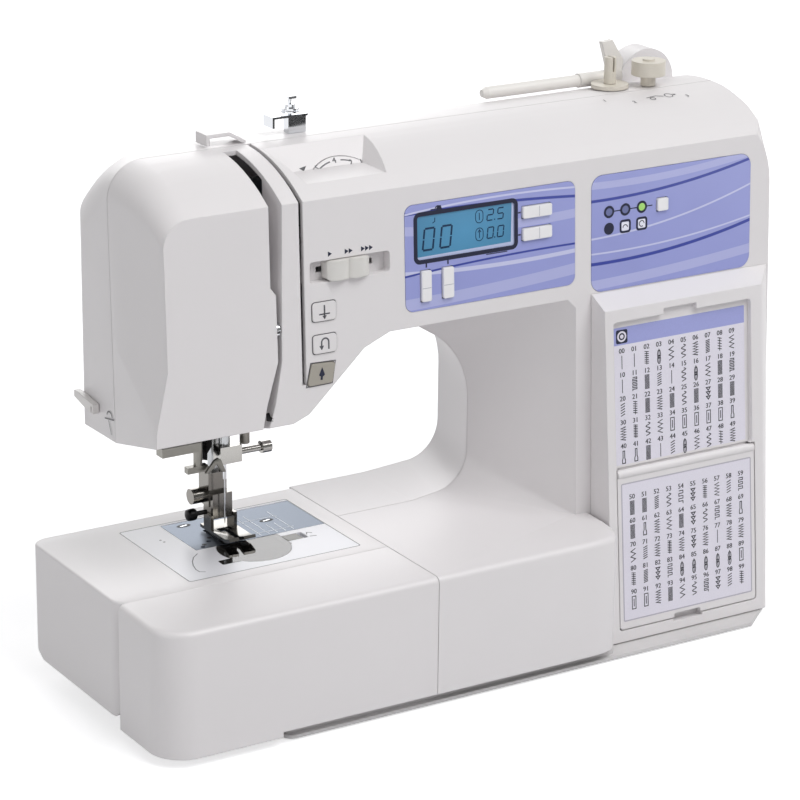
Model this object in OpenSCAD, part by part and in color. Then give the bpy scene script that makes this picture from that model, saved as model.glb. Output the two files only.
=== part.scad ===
// Free-arm electronic sewing machine with a flat-bed attachment, a rear carrying
// handle and a fold-down stitch chart. +X runs to the handwheel, +Y to the rear,
// +Z up. The origin lies under the middle of the machine, on the table.

/* [Overall] */
// Length from the free arm's end to the handwheel's face
overall_l = 417; // [407:1:430]
// How far the handwheel stands out of the casing's side
wheel_proud = 12.5; // [10:0.5:16]
// Height of the bed's working surface
bed_h = 74; // [72:0.5:76]
// Height of the casing's crown
crown_h = 289.5; // [285:0.5:296]
// Thickness of the moulded casing walls
wall = 2.6; // [2:0.1:3.2]
// Gap left at visible joints between mouldings
seam = 0.3; // [0.2:0.05:0.5]

/* [Casing] */
// Front face's distance before the origin, at table height
face_y = -51.9; // [-55:0.1:-48]
// Lean of the front face, in degrees
face_tilt = 2.75; // [2:0.05:3.5]
// Radius of the crown, seen from the side
crown_r = 100; // [95:1:106]
// Place of the crown's centre, front to rear
crown_y = 19; // [16:0.5:22]
// Plane where the front and rear shells meet
parting_y = 15; // [12:0.5:18]
// Rear plane of the casing
rear_y = 68; // [66:0.5:72]
// Radius between the crown and the rear plane
rear_r = 20; // [16:0.5:24]
// Plan radius of the head's rear corner
head_r = 30; // [20:1:34]
// Left side of the head at the front face
head_x = -180.5; // [-184:0.1:-176]
// Left side of the head at the parting plane
head_seam_x = -183.8; // [-188:0.2:-181]
// Left side of the head at its lower edge
cheek_x = -188.6; // [-191:0.2:-187]
// Height where the cheek begins to widen
cheek_z = 195; // [185:1:205]
// Underside of the head on the front face
head_z = 156; // [152:0.5:160]
// Underside of the head at the parting plane
head_seam_z = 140; // [138:0.5:150]
// Lower edge of the casing above the table
skirt_z = 8; // [7:0.5:10]

/* [Throat] */
// Right edge of the throat on the front face
throat_x = 66; // [62:0.5:70]
// Right edge of the throat at the parting plane
throat_seam_x = 35; // [32:0.5:40]
// Underside of the arm on the front face
arm_z = 196; // [193:0.5:200]
// Underside of the arm at the parting plane
arm_seam_z = 176; // [172:0.5:180]
// Right end of the head's underside, where the slope to the arm starts
slope_x = -104; // [-108:0.5:-100]
// Right end of that slope on the front face
slope_end_x = -60; // [-66:0.5:-54]
// Radius of the throat's upper rear corner
throat_r = 49; // [40:1:50]
// Radius of the throat's lower rear corner
throat_foot_r = 22; // [16:1:26]
// Widening of the throat at the rear plane
throat_flare = 15; // [10:1:20]

/* [Bed] */
// Front of the bed
bed_y = -89; // [-92:0.5:-86]
// Seam between the casing and the free arm
free_x = -48; // [-52:0.5:-44]
// Front of the free arm
free_y = -37.8; // [-40:0.2:-35]
// Rear of the free arm
free_rear_y = 66; // [64:0.5:67]
// Underside of the free arm
free_z = 10; // [9:0.5:11]
// Right end of the bed's front, where it turns back to the chart box
bed_end_x = 75.5; // [73:0.5:75.5]
// Radius of the bed's top edge
bed_edge_r = 3.5; // [2:0.5:5]
// Radius of the attachment's front left corner
attachment_r = 19; // [14:1:24]
// Travel of the attachment when it slides off
attachment_travel = 165; // [162:1:200]

/* [Chart box] */
// Front plane's distance before the origin, at table height
box_y = -73; // [-76:0.5:-70]
// Lean of the chart box's front, in degrees
box_tilt = 5.26; // [4.5:0.1:6]
// Left side of the chart box
box_x = 76; // [76:0.5:78]
// Right end of the chart box's front
box_end_x = 184.5; // [182:0.5:187]
// Lower edge of the chart box
box_z = 3.4; // [3:0.1:5]
// Upper edge of the chart box's flat front
box_top_z = 191; // [189:0.5:194]
// Thickness of the folding chart lid
lid_t = 3; // [2.5:0.1:3.4]
// Height of the lid's hinge above the table
hinge_z = 98.8; // [97:0.2:100]
// Radius of the lid's hinge barrel
barrel_r = 2.4; // [2:0.1:2.8]
// Radius of the lid's hinge pins
lid_pin_r = 1.2; // [1:0.1:1.4]

/* [Panels and keys] */
// Thickness of the printed panels
panel_t = 1; // [0.8:0.1:1.4]
// Clearance round keys and buttons
key_gap = 0.4; // [0.2:0.05:0.5]
// Travel of the sewing buttons
button_travel = 1.5; // [1:0.1:1.8]
// Tilt of the rocker keys either way, in degrees
rock_angle = 4; // [2:0.5:5]

/* [Drive] */
// Height of the main shaft
shaft_z = 235; // [232:0.5:238]
// Radius of the main shaft
shaft_r = 5; // [4:0.25:6]
// Running clearance of shafts and bars in their bores
run = 0.05; // [0.03:0.01:0.08]
// Radius of the handwheel
wheel_r = 33; // [28:0.5:36]
// Crank throw of the needle drive
crank_throw = 14; // [12:0.5:15]
// Height of the lower shaft
lower_z = 34; // [32:0.5:35]
// Radius of the lower shaft
lower_r = 4; // [3:0.25:5]
// Gap left between parts that run past each other
pass = 0.3; // [0.2:0.05:0.4]

/* [Needle] */
// Place of the needle, left to right
needle_x = -115; // [-116:0.1:-114.5]
// Place of the needle and the main shaft, front to rear
needle_y = 20; // [19.5:0.1:20.5]
// Radius of the needle bar and the presser bar
bar_r = 3; // [2.5:0.1:3.2]
// Stroke of the needle bar
needle_stroke = 28; // [24:0.5:28]
// Place of the presser bar, front to rear
presser_y = 33; // [32:0.5:34]
// Gap under the raised presser foot
foot_gap = 2; // [1.6:0.1:3]
// Lift of the presser foot
foot_lift = 6; // [5:0.5:7]

/* [Hook] */
// Place of the hook, left to right
hook_x = -110; // [-111:0.1:-109]
// Place of the hook, front to rear
hook_y = -2; // [-2.5:0.1:-1.5]
// Radius of the rotary hook
hook_r = 21.5; // [20:0.1:21.6]
// Radius of the bobbin
bobbin_r = 10.2; // [9.5:0.1:10.4]
// Height of the bobbin
bobbin_h = 11.5; // [10.5:0.1:11.6]

/* [Hidden] */
$fn = 48;
eps = 0.01;

left_x = -overall_l/2;
side_x = overall_l/2 - wheel_proud;
crown_z = crown_h - crown_r;
rear_c_y = rear_y - rear_r;
rear_c_z = crown_z + sqrt((crown_r - rear_r)^2 - (rear_c_y - crown_y)^2);
gap = seam/2;
foot_z = bed_h + foot_gap;

// Height of the crown at depth y, for a casing shrunk by g
function crown(y, g = 0) = crown_z + sqrt((crown_r - g)^2 - (y - crown_y)^2);
// Depth of the front face at height z
function front(z) = face_y + z*tan(face_tilt);

/* ---- Drawing planes ---- */

// Outline drawn in (y, z), stretched from x0 to x1
module along_x(x0, x1) {
    translate([x0, 0, 0]) rotate([90, 0, 90]) linear_extrude(x1 - x0) children();
}

// Outline drawn in (x, z), stretched from y0 to y1
module along_y(y0, y1) {
    translate([0, y1, 0]) rotate([90, 0, 0]) linear_extrude(y1 - y0) children();
}

// Outline drawn in (x, z) on the front face, from depth a to b inwards
module on_face(a, b) {
    translate([0, face_y, 0]) rotate([90 - face_tilt, 0, 0])
        translate([0, 0, -b]) linear_extrude(b - a) children();
}

// Outline drawn in (x, z) on the chart box's front, from depth a to b inwards
module on_box(a, b) {
    translate([0, box_y, 0]) rotate([90 - box_tilt, 0, 0])
        translate([0, 0, -b]) linear_extrude(b - a) children();
}

// Rectangle between two corners with rounded corners
module rounded(x0, y0, x1, y1, r) {
    translate([x0 + r, y0]) square([x1 - x0 - 2*r, y1 - y0]);
    translate([x0, y0 + r]) square([x1 - x0, y1 - y0 - 2*r]);
    for (x = [x0 + r, x1 - r], y = [y0 + r, y1 - r]) translate([x, y]) circle(r);
}

// Block between two opposite corners
module block(a, b) {
    translate(a) cube(b - a);
}

module rod_x(x0, x1, y, z, r) {
    translate([x0, y, z]) rotate([0, 90, 0]) cylinder(h = x1 - x0, r = r);
}

module rod_z(x, y, z0, z1, r) {
    translate([x, y, z0]) cylinder(h = z1 - z0, r = r);
}

// Flat-topped slab of a plan outline with a rounded top edge
module soft_slab(z0, z1, r) {
    hull() {
        translate([0, 0, z0]) linear_extrude(z1 - z0 - r) children();
        for (a = [22.5:22.5:90])
            translate([0, 0, z1 - r + r*sin(a) - eps])
                linear_extrude(eps) offset(delta = -r*(1 - cos(a))) children();
    }
}

/* ---- Casing form ---- */

corner_front_r = 14;
corner_seam_r = 20;
// How far the head's side draws in from the crown down to the table, behind its front
head_tuck = 5;
// Radius of the top left corner at depth y, k of the way to the parting plane
function left_r(y, k) = corner_front_r + (corner_seam_r - corner_front_r)*k
    + max(0, y - parting_y)*0.65;
// Depths of the sections that shape the crown, front to parting plane
CROWN_Y = [-30, -18, -6, 5, parting_y];
// Radius of the top right corner and the height of its centre, at each depth
function right_r(y) = y < -38 ? 45 : y < -24 ? 22 : y < -12 ? 15 : y < 0 ? 10 : 6;
function right_z(y) = crown_h - (y < -38 ? 45 : y < -24 ? 22.5 : y < -12 ? 12.5 : y < 0 ? 8 : 3.5);

// Section of the arm and column at depth y, shrunk by g, as points of a hull
module section(y, g) {
    t = (y - front(crown_z))/(parting_y - front(crown_z));
    k = max(0, min(1, t));
    lr = left_r(y, k);
    lx = head_x + (head_seam_x - head_x)*k;
    rr = right_r(y);
    translate([lx + lr, crown(y) - lr]) circle(r = lr - g, $fn = 64);
    translate([side_x - rr, right_z(y)]) circle(r = rr - g, $fn = 48);
    translate([lx + head_tuck*k + g, 0]) square([1, 1]);
    translate([side_x - 1 - g, 0]) square([1, 200]);
}

// Crown and rear plane, seen from the side, shrunk by g
module side_profile(g) {
    intersection() {
        translate([crown_y, crown_z]) circle(r = crown_r - g, $fn = 96);
        translate([-crown_r, crown_z]) square([crown_r + rear_c_y + rear_r*0.36, crown_r]);
    }
    translate([-crown_r, -1]) square([crown_r + rear_y - g, rear_c_z + 1]);
    translate([rear_c_y, rear_c_z]) circle(r = rear_r - g);
}

// Left side of the head at the parting plane, where the cheek ends
cheek_seam_x = head_seam_x + 1.9;

// Front half of the casing, shrunk by g
module front_form(g) {
    intersection() {
        union() {
            hull() {
                on_face(g, g + eps) section(-38.9, g);
                for (y = CROWN_Y) along_y(y, y + eps) section(y, g);
            }
            hull() {
                on_face(g, g + eps) polygon([
                    [head_x + g, cheek_z], [cheek_x + 4.9 + g, cheek_z - 15],
                    [cheek_x + 2.4 + g, cheek_z - 23], [cheek_x + 0.6 + g, cheek_z - 30.5],
                    [cheek_x + g, head_z - 1], [-150, head_z - 1], [-150, cheek_z]]);
                along_y(parting_y, parting_y + eps) polygon([
                    [cheek_seam_x + g, cheek_z], [cheek_seam_x + 0.3 + g, head_seam_z - 1],
                    [-150, head_seam_z - 1], [-150, cheek_z]]);
            }
        }
        along_x(cheek_x - 1, side_x + 1) side_profile(g);
    }
}

// Depths of the sections from the parting plane to the rear
REAR_Y = [parting_y, 30, 42, 52, rear_y + 2];

// Rear half of the casing, shrunk by g
module rear_form(g) {
    intersection() {
        hull() for (y = REAR_Y) along_y(y - eps, y) section(y, g);
        along_x(cheek_x - 1, side_x + 1) side_profile(g);
        translate([0, 0, -1]) linear_extrude(crown_h + 2) {
            rounded(head_seam_x - 0.7 + g, parting_y - 60, 60, rear_y - g, head_r - g);
            rounded(0, parting_y - 60, side_x - g, rear_y - g, 10 - g);
        }
    }
}

// Reach of the bends at both ends of the slope under the head
bend = 9;

// Outline of the throat on the front face, grown by g
module throat_front(g) {
    offset(delta = g) polygon([
        [throat_x, bed_h], [throat_x, arm_z - 5], [throat_x - 5, arm_z],
        [slope_end_x + bend, arm_z], [slope_end_x - bend*0.72, arm_z - bend*0.7],
        [slope_x, head_z], [slope_x, bed_h]]);
}

// Outline of the throat at the parting plane, grown by g and widened by w
module throat_back(g, w = 0) {
    slope_back_x = slope_x + (slope_end_x - slope_x)*(arm_seam_z - head_seam_z)/(arm_z - head_z);
    x = throat_seam_x + w + g;
    top = arm_seam_z + w/3 + g;
    translate([x - throat_r, top - throat_r]) circle(r = throat_r, $fn = 64);
    translate([x - throat_foot_r, bed_h + 2 - g + throat_foot_r]) circle(r = throat_foot_r);
    polygon([[slope_x - g, bed_h - g], [0, bed_h - g], [0, top],
             [slope_back_x + bend - w/3 - g*0.4, top],
             [slope_back_x - bend*0.72 - w/3 - g*0.4, top - bend*0.7],
             [slope_x - g, head_seam_z + g*0.4]]);
}

// Space under the arm, in front of the parting plane, grown by g
module throat(g) {
    hull() {
        on_face(-20, g + eps) throat_front(g);
        along_y(parting_y, parting_y + eps) throat_back(g);
    }
}

// The same space behind the parting plane
module throat_rear(g) {
    hull() {
        along_y(parting_y - 1, parting_y) throat_back(g);
        along_y(rear_y + 1, rear_y + 1 + eps) throat_back(g, throat_flare);
    }
}

// All that is cut away left of the throat: under the head and beside the bed
module left_cut(g) {
    w = slope_x - g - left_x + 40;
    hull() {
        on_face(-20, eps) translate([left_x - 40, -2]) square([w, head_z + 2]);
        along_y(parting_y, parting_y + eps) translate([left_x - 40, -2])
            square([w, head_seam_z + 2]);
    }
    block([left_x - 40, parting_y, -2], [left_x - 40 + w, rear_y + 1, head_seam_z]);
    // Bend where the slope to the arm starts
    hull() {
        on_face(-20, eps) slope_bend(head_z);
        along_y(parting_y, parting_y + eps) slope_bend(head_seam_z);
    }
    along_y(parting_y, rear_y + 1) slope_bend(head_seam_z);
    block([left_x - 40, -120, -2], [free_x + gap, 120, bed_h + eps]);
}

module slope_bend(z) {
    polygon([[slope_x - bend*0.6, z - eps], [slope_x, z - 3], [slope_x + bend*0.44, z + bend*0.4]]);
}

/* ---- Bed ---- */

// Plan of the casing's own part of the bed, drawn past its seams by over
module bed_plan(g, over = 0) {
    polygon([[free_x + gap - over, bed_y + g], [52, bed_y + g], [60, bed_y + 0.9 + g],
             [66 - g, bed_y + 3 + g], [70.5 - g, bed_y + 8 + g/2], [73.5 - g, bed_y + 16],
             [75 - g, bed_y + 26], [bed_end_x - g, bed_y + 37],
             [bed_end_x - g, parting_y - gap + over], [free_x + gap - over, parting_y - gap + over]]);
}

/* ---- Front of the machine: pockets and openings ---- */

slider_x0 = -98;
slider_x1 = -50.4;
slider_z0 = 228;
slider_z1 = 239.2;
slider_depth = 6;

needle_button_box = [-97.2, 208, -83.4, 217.8];
reverse_button_box = [-97.2, 191, -83.4, 200.6];
// Corners of the start and stop button, clockwise from its upper left
start_button_shape = [[-98.4, 186], [-84.4, 185.4], [-86.4, 174.7], [-101.2, 174.5]];

lcd_box = [-41.2, 204.3, 65.3, 261];
window_box = [-34, 231, 26.8, 254.7];
select_box = [76, 197.6, 182.5, 261.5];
tens_box = [-31.9, 209, -26, 225.5];
ones_box = [-18.7, 209, -12.2, 225.5];
length_box = [31.3, 244.8, 49.6, 251.2];
width_box = [31.3, 232.8, 49.6, 239.4];
select_key_box = [118.9, 237.2, 125.9, 244.2];

// Rectangle of a named box, grown by g, corners rounded by r
module boxed(b, g, r) {
    rounded(b[0] - g, b[1] - g, b[2] + g, b[3] + g, r);
}

// Start and stop button with rounded corners
module start_outline() {
    offset(r = 1.5) offset(delta = -1.5) polygon(start_button_shape);
}

// Take-up slot, open at the head's lower edge
module take_up_slot() {
    top = crown_h + 10.5;
    polygon([[-121, top], [-121, 229], [-117.9, 225], [-117.6, 190], [-124.5, 168],
             [-128.6, 150], [-125.5, 150], [-119.6, 168], [-115.3, 190], [-114.5, 225],
             [-113.2, 271], [-113.2, top]]);
}

slot_end_y = 8;
groove_x = -102.5;
groove_w = 2.4;
groove_z = 175;

/* ---- Tension dial recess, cut into the crown ---- */

dial_x = -60;
dial_r = 23;
dial_t = 5;
recess_z = crown_h - 12.5;
recess_front_y = -34;
recess_back_y = -5.3;
slope_a = 47.2;
recess_l = -93;
recess_r = -46;

// Space of the recess, grown by g at its floor, ends and back
module dial_recess(g) {
    run_y = (crown_h - recess_z)/tan(slope_a);
    intersection() {
        along_x(recess_l - 20, recess_r + 20) polygon([
            [recess_front_y, recess_z - g], [recess_back_y + g, recess_z - g],
            [recess_back_y + run_y + g, crown_h], [recess_back_y + run_y + g, crown_h + 10],
            [recess_front_y, crown_h + 10]]);
        along_y(recess_front_y - 1, recess_back_y + run_y + 8) polygon([
            [recess_l - g, recess_z - g], [recess_r + g, recess_z - g],
            [recess_r + 8 + g, crown_h], [recess_r + 8 + g, crown_h + 10],
            [recess_l - 8 - g, crown_h + 10], [recess_l - 8 - g, crown_h]]);
    }
}

// Frame of the dial: local x along the machine, y up the slope, z out of it
module on_slope() {
    translate([dial_x, recess_back_y, recess_z]) rotate([slope_a, 0, 0]) children();
}
dial_drop = dial_r - 5.6;

/* ---- Mouldings ---- */

module front_shell() color([0.92, 0.91, 0.92]) {
    pocket_wall = 1.5;
    difference() {
        union() {
            difference() {
                union() {
                    difference() {
                        front_form(0);
                        throat(0);
                        left_cut(0);
                    }
                    soft_slab(skirt_z, bed_h, bed_edge_r) bed_plan(0, 10);
                }
                difference() {
                    front_form(wall);
                    throat(wall);
                }
                translate([0, 0, -1]) linear_extrude(bed_h - wall + 1) bed_plan(wall);
            }
            difference() {
                intersection() {
                    front_form(0);
                    union() {
                        dial_recess(wall);
                        on_face(1, 20) offset(delta = pocket_wall) take_up_slot();
                    }
                }
                left_cut(0);
            }
            on_face(1, slider_depth + pocket_wall) rounded(slider_x0 - pocket_wall,
                slider_z0 - pocket_wall, slider_x1 + pocket_wall, slider_z1 + pocket_wall, 2);
        }
        block([-400, parting_y - gap, -2], [400, 200, 400]);
        block([-400, -200, -2], [400, 200, skirt_z]);
        block([-400, -200, -2], [free_x + gap, 200, bed_h + eps]);
        dial_recess(0);
        on_slope() translate([0, -dial_drop, -dial_t - 1])
            cylinder(h = dial_t + 1 + pass, r = dial_r + pass, $fn = 96);
        along_y(front(0) - 5, slot_end_y) take_up_slot();
        along_y(front(0) - 5, parting_y + 5) translate([groove_x - groove_w/2, groove_z])
            square([groove_w, 200]);
        on_face(-1, slider_depth) rounded(slider_x0, slider_z0, slider_x1, slider_z1, 2);
        on_face(slider_depth - 1, slider_depth + 3) translate([slider_x0 + 7, 232])
            square([slider_x1 - slider_x0 - 14, 3]);
        on_face(-1, wall + 2) {
            boxed(needle_button_box, key_gap, 1.6);
            boxed(reverse_button_box, key_gap, 1.6);
            offset(delta = key_gap) start_outline();
            boxed(lcd_box, -4, 3);
            boxed(select_key_box, key_gap + 1, 1.5);
        }
        on_face(-1, panel_t) {
            boxed(lcd_box, gap, 5);
            boxed(select_box, gap, 7);
        }
        winder_slot();
        shaft_hole(16);
    }
}

module rear_shell() color([0.91, 0.9, 0.91]) {
    difference() {
        union() {
            difference() {
                rear_form(0);
                throat_rear(0);
                left_cut(0);
                difference() {
                    rear_form(wall);
                    throat_rear(wall);
                }
            }
            handle_lugs();
            fairing();
        }
        block([-400, -200, -2], [400, parting_y + gap, 400]);
        block([-400, -200, -2], [400, 200, skirt_z]);
        winder_slot();
        spool_bed();
        shaft_hole(16);
        block([lever_x - 1.5, 60, 176], [lever_x + lever_w + 1.5, 90, 212]);
        along_x(side_x - 10, side_x + 1) {
            boxed(switch_box, pass, 1);
            boxed(inlet_box, pass, 1);
        }
    }
}

free_edge_r = 1.2;
module free_arm_cover() color([0.92, 0.91, 0.92]) {
    t = 2.4;
    x1 = free_x - gap;
    difference() {
        intersection() {
            soft_slab(free_z, bed_h, free_edge_r) rounded(left_x, free_y, x1 + 10, free_rear_y, 9);
            block([left_x - 1, -60, 0], [x1, 80, bed_h + 1]);
            along_x(left_x - 1, x1) polygon([
                [free_y - 1, free_z + 6], [free_y + 6, free_z], [free_rear_y - 14, free_z],
                [free_rear_y + 1, free_z + 8], [free_rear_y + 1, bed_h + 1], [free_y - 1, bed_h + 1]]);
        }
        translate([0, 0, free_z + t]) linear_extrude(bed_h - free_z - 2*t)
            rounded(left_x + t, free_y + t, x1 + 20, free_rear_y - t, 9 - t);
        block([tray_x0 - 1, free_y + 4, 0], [x1 + 1, free_rear_y - 16, free_z + t + 1]);
        linear_extrude(bed_h + 5) offset(delta = gap) cover_plan();
        block([drop_x - 3, free_rear_y - 5, drop_z - 3 - pass],
              [drop_x + drop_travel + 3, free_rear_y + 5, drop_z + 3 + pass]);
    }
    // Ledge that carries the needle plate cover
    difference() {
        block([cover_x0 - 3, cover_y0 - 3, bed_h - 6], [cover_x1 + 3, cover_y1 + 3, bed_h - 1]);
        block([cover_x0 + 3, cover_y0 + 3, 0], [cover_x1 - 3, cover_y1 - 3, bed_h]);
        translate([0, 0, cover_z - gap]) linear_extrude(10) offset(delta = gap) cover_plan();
    }
}

/* ---- Base ---- */

tray_x0 = -137;
tray_x1 = side_x - 8;
tray_z = 0.8;
tray_top = 7.7;
tray_floor = 1.9;
tray_front = bed_y + 4;

module base_tray() color([0.8, 0.79, 0.79]) {
    difference() {
        union() {
            // Flange that stands out under the chart box, with a cut corner
            translate([0, 0, tray_z]) linear_extrude(tray_floor) difference() {
                rounded(tray_x0, tray_front, tray_x1, 60, 6);
                polygon([[tray_x1 - 26, tray_front - 1], [tray_x1 + 1, tray_front - 1],
                         [tray_x1 + 1, -64]]);
            }
            translate([0, 0, tray_z]) linear_extrude(tray_top - tray_z) {
                rounded(tray_x0, tray_front + 3, 73, 60, 6);
                rounded(40, -48, tray_x1, 60, 6);
            }
        }
        translate([0, 0, tray_z + tray_floor]) linear_extrude(10) {
            rounded(tray_x0 + 3, tray_front + 6, 70, 57, 4);
            rounded(40, -45, tray_x1 - 3, 57, 4);
        }
        feet_at() rod_z(0, 0, 0, foot_h, 8.2);
    }
    // Posts that carry the chassis
    for (x = [-120, -20, 80, tray_x1 - 18], y = [-26, 42])
        rod_z(x, y, tray_z + tray_floor - 0.5, chassis_z, 5);
}

foot_h = 1.6;
FEET = [[-118, 0], [-20, -62], [60, 44], [-118, 44], [tray_x1 - 16, -40], [tray_x1 - 16, 44]];
module feet_at() {
    for (p = FEET) translate([p[0], p[1], 0]) children();
}

module rubber_feet() color([0.2, 0.2, 0.2]) {
    feet_at() rod_z(0, 0, 0, foot_h, 8);
}

/* ---- Chassis ---- */

chassis_z = 12;
plate_y = 43;
plate_top = crown_h - 27.5;
shaft_x0 = -95;
pulley_x = side_x - 40;
pulley_r = 24;
belt_x = pulley_x - 56;
belt_r = 12;
presser_lug = [[-136, 13, 159], [-109.5, plate_y + 1, 164]];
threader_x = -131;
threader_r = 2.4;
upper_lug = [[-125, 13, 205], [-109.5, plate_y + 1, 210]];
pivot_y = 8;
pivot_z = 212;

module chassis() color([0.45, 0.46, 0.48]) {
    difference() {
        union() {
            block([-132, -32, chassis_z], [side_x - 14, 49, chassis_z + 3]);
            block([belt_x - 10, plate_y, chassis_z], [pulley_x - 6, plate_y + 4, plate_top]);
            block([-128, plate_y, shaft_z - 13], [pulley_x - 6, plate_y + 4, plate_top]);
            block([-128, plate_y, 158], [-106, plate_y + 4, plate_top]);
            block(presser_lug[0], presser_lug[1]);
            block(upper_lug[0], upper_lug[1]);
            block([-128.5, pivot_y - 4, pivot_z - 3], [-124.5, plate_y + 1, pivot_z + 6]);
            for (x = [-88, 30, pulley_x - 16])
                block([x, 11, shaft_z - 9], [x + 7, plate_y + 1, shaft_z + 9]);
            for (x = [-90, 0, belt_x - 12])
                block([x, 10, chassis_z], [x + 7, 30, lower_z + 8]);
            rod_z(hook_x, hook_y, chassis_z, lower_z - 6, 7);
        }
        rod_x(-100, pulley_x + 4, needle_y, shaft_z, shaft_r + run);
        rod_x(-100, belt_x + 10, needle_y, lower_z, lower_r + run);
        rod_z(needle_x, needle_y, 150, 215, bar_r + run);
        rod_z(needle_x, presser_y, 150, 215, bar_r + run);
        rod_z(threader_x, needle_y, 150, 170, threader_r + run);
        rod_z(hook_x, hook_y, chassis_z - 1, lower_z, hook_shaft_r + run);
        block([hook_x - 18, 6, chassis_z - 1], [hook_x + 12, 36, lower_z - 14]);
    }
    rod_x(-125, -115.5, pivot_y, pivot_z, 2.5);
    // Lug and pin of the presser lever
    block([lever_x - 3 - pass, plate_y + 3, lever_pivot_z - 5],
          [lever_x - pass, lever_pivot_y + 4, lever_pivot_z + 5]);
    rod_x(lever_x - 1, lever_x + lever_w + 1, lever_pivot_y, lever_pivot_z, lever_pin_r);
    block([pulley_x - 46, -22, chassis_z + 2], [pulley_x - 6, 26, chassis_z + 6]);
}

module casing_screws() color([0.7, 0.7, 0.72]) {
    for (p = [[90, shaft_z - 5], [side_x - 26, 120], [side_x - 26, 30], [-90, shaft_z - 5]])
        translate([p[0], rear_y, p[1]]) rotate([-90, 0, 0]) difference() {
            cylinder(h = 2, r = 3.6);
            translate([-0.5, -3, 1.2]) cube([1, 6, 1]);
            translate([-3, -0.5, 1.2]) cube([6, 1, 1]);
        }
}

/* ---- Top ---- */

module thread_guide_plate() color([0.93, 0.92, 0.93]) {
    t = 2;
    y0 = 16.5;
    y1 = 28;
    z = crown_h + 6.8;
    block([-126, y0, z - t], [-112, y1, z]);
    block([-126, y0, crown(y0) + 1], [-126 + t, y1, z]);
    hull() {
        block([-112.5, y0, z - t], [-112, y1, z]);
        block([-104, y0, crown_h + pass], [-103, y1, crown_h + 1.6]);
    }
}

// Bar across the head's side with the blade's notch at its front end
module thread_cutter() color([0.88, 0.87, 0.86]) {
    z = 154;
    x = cheek_seam_x - 3;
    difference() {
        hull() {
            block([x - 1, 48, z + 1], [x + 4, 54, z + 4.5]);
            block([x - 1, 32, z - 2.5], [x + 4, 38, z + 2.5]);
        }
        block([cheek_seam_x - 0.5, 10, z - 10], [cheek_seam_x + 12, 60, z + 20]);
        block([x - 2, 33.6, z - 4], [x + 4, 34.8, z + 1]);
    }
}

// Chrome bracket that leads the thread to the bobbin winder
module winding_guide() color([0.85, 0.85, 0.87]) {
    x0 = -74.5;
    x1 = -64;
    flap_x = -85;
    z0 = crown_h + 0.2;
    z1 = crown_h + 10.5;
    block([x0, 22, z0], [x1, 27, z1]);
    block([flap_x, 20, z1 - 1.2], [x1, 30, z1]);
    block([flap_x, 20, z1 - 6], [flap_x + 1.2, 30, z1]);
    rod_z(-72, 25, z1, z1 + 9, 1);
    rod_z(-72, 25, z1 + 0.8, z1 + 1.8, 5);
    rod_z(-72, 25, z1 + 2.2, z1 + 3.2, 5);
    rod_z(-72, 25, z1 + 3.2, z1 + 5.2, 3);
    block([-73, 24, z1 + 7.6], [-68.5, 26, z1 + 9]);
}

spool_y = 43;
spool_z = crown_h + 2.1;
spool_hinge_x = 147;
module spool_pin() color([0.92, 0.91, 0.9]) {
    rod_x(62.2, 123, spool_y, spool_z, 3.4);
    translate([59.2, spool_y, spool_z]) rotate([0, 90, 0]) cylinder(h = 3, r1 = 2, r2 = 3.4);
    rod_x(123, spool_hinge_x, spool_y, spool_z, 4);
    along_y(spool_y - 3.7, spool_y + 3.7) translate([spool_hinge_x, spool_z]) circle(4.2);
    // Thumb tab
    along_y(spool_y - 3.7, spool_y - 0.5) translate([spool_hinge_x, spool_z])
        polygon([[-5, 2.4], [-10.6, 21], [-3.4, 21.6], [4.2, 9.9], [3.5, -0.6]]);
}

// Trough in the crown that the lowered spool pin lies in
module spool_bed() {
    block([57, spool_y - 4.6, spool_z - 4.6], [152.4, spool_y + 4.6, spool_z + 10]);
}

// Hump of the rear shell behind the winder
module fairing() {
    difference() {
        intersection() {
            translate([171, 51, crown_h - 3.5]) rotate([90, 0, 0])
                cylinder(h = 14, r = 18.5, center = true);
            block([150, 40, crown_h - 9.5], [190, 60, crown_h + 16.5]);
        }
        spool_bed();
    }
}

winder_x = 134;
winder_y = 27.5;
winder_shift = 5;
winder_seat_z = crown_h + 0.5;

module winder_slot() {
    translate([0, 0, crown_h - 14]) linear_extrude(20)
        rounded(winder_x - 5, winder_y - 4.5, winder_x + winder_shift + 5, winder_y + 4.5, 4);
}

module winder_seat() color([0.86, 0.84, 0.8]) {
    difference() {
        union() {
            rod_z(winder_x, winder_y, winder_seat_z, winder_seat_z + 2, 10.5);
            rod_z(winder_x, winder_y, crown_h - 12, winder_seat_z, 4);
        }
        rod_z(winder_x, winder_y, crown_h - 20, winder_seat_z + 5, 2.5 + run);
    }
}

module winder_shaft() color([0.88, 0.86, 0.82]) {
    rod_z(winder_x, winder_y, crown_h - 16, winder_seat_z + 3, 2.5);
    difference() {
        rod_z(winder_x, winder_y, winder_seat_z + 2.2, crown_h + 17.5, 3.4);
        block([winder_x - 0.5, winder_y - 4, crown_h + 9.5],
              [winder_x + 0.5, winder_y + 4, crown_h + 18.5]);
    }
}

module winder_stopper() color([0.87, 0.85, 0.8]) {
    x = 155.5;
    y = 21;
    rod_z(x, y, crown(y) + 0.5, crown_h + 6.5, 4.2);
    rod_z(x, y, crown_h + 6.5, crown_h + 14.5, 9.5);
    rod_z(x, y, crown_h + 14.5, crown_h + 15.5, 3.5);
}

module tension_dial() color([0.93, 0.92, 0.93]) {
    on_slope() translate([0, -dial_drop, -dial_t]) difference() {
        union() {
            cylinder(h = dial_t, r = dial_r, $fn = 96);
            translate([0, 0, -3]) cylinder(h = 3.5, r = 6);
        }
        for (a = [0:12:348]) rotate(a) translate([dial_r, 0, -1]) cylinder(h = 3, r = 0.5);
    }
}

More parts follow.
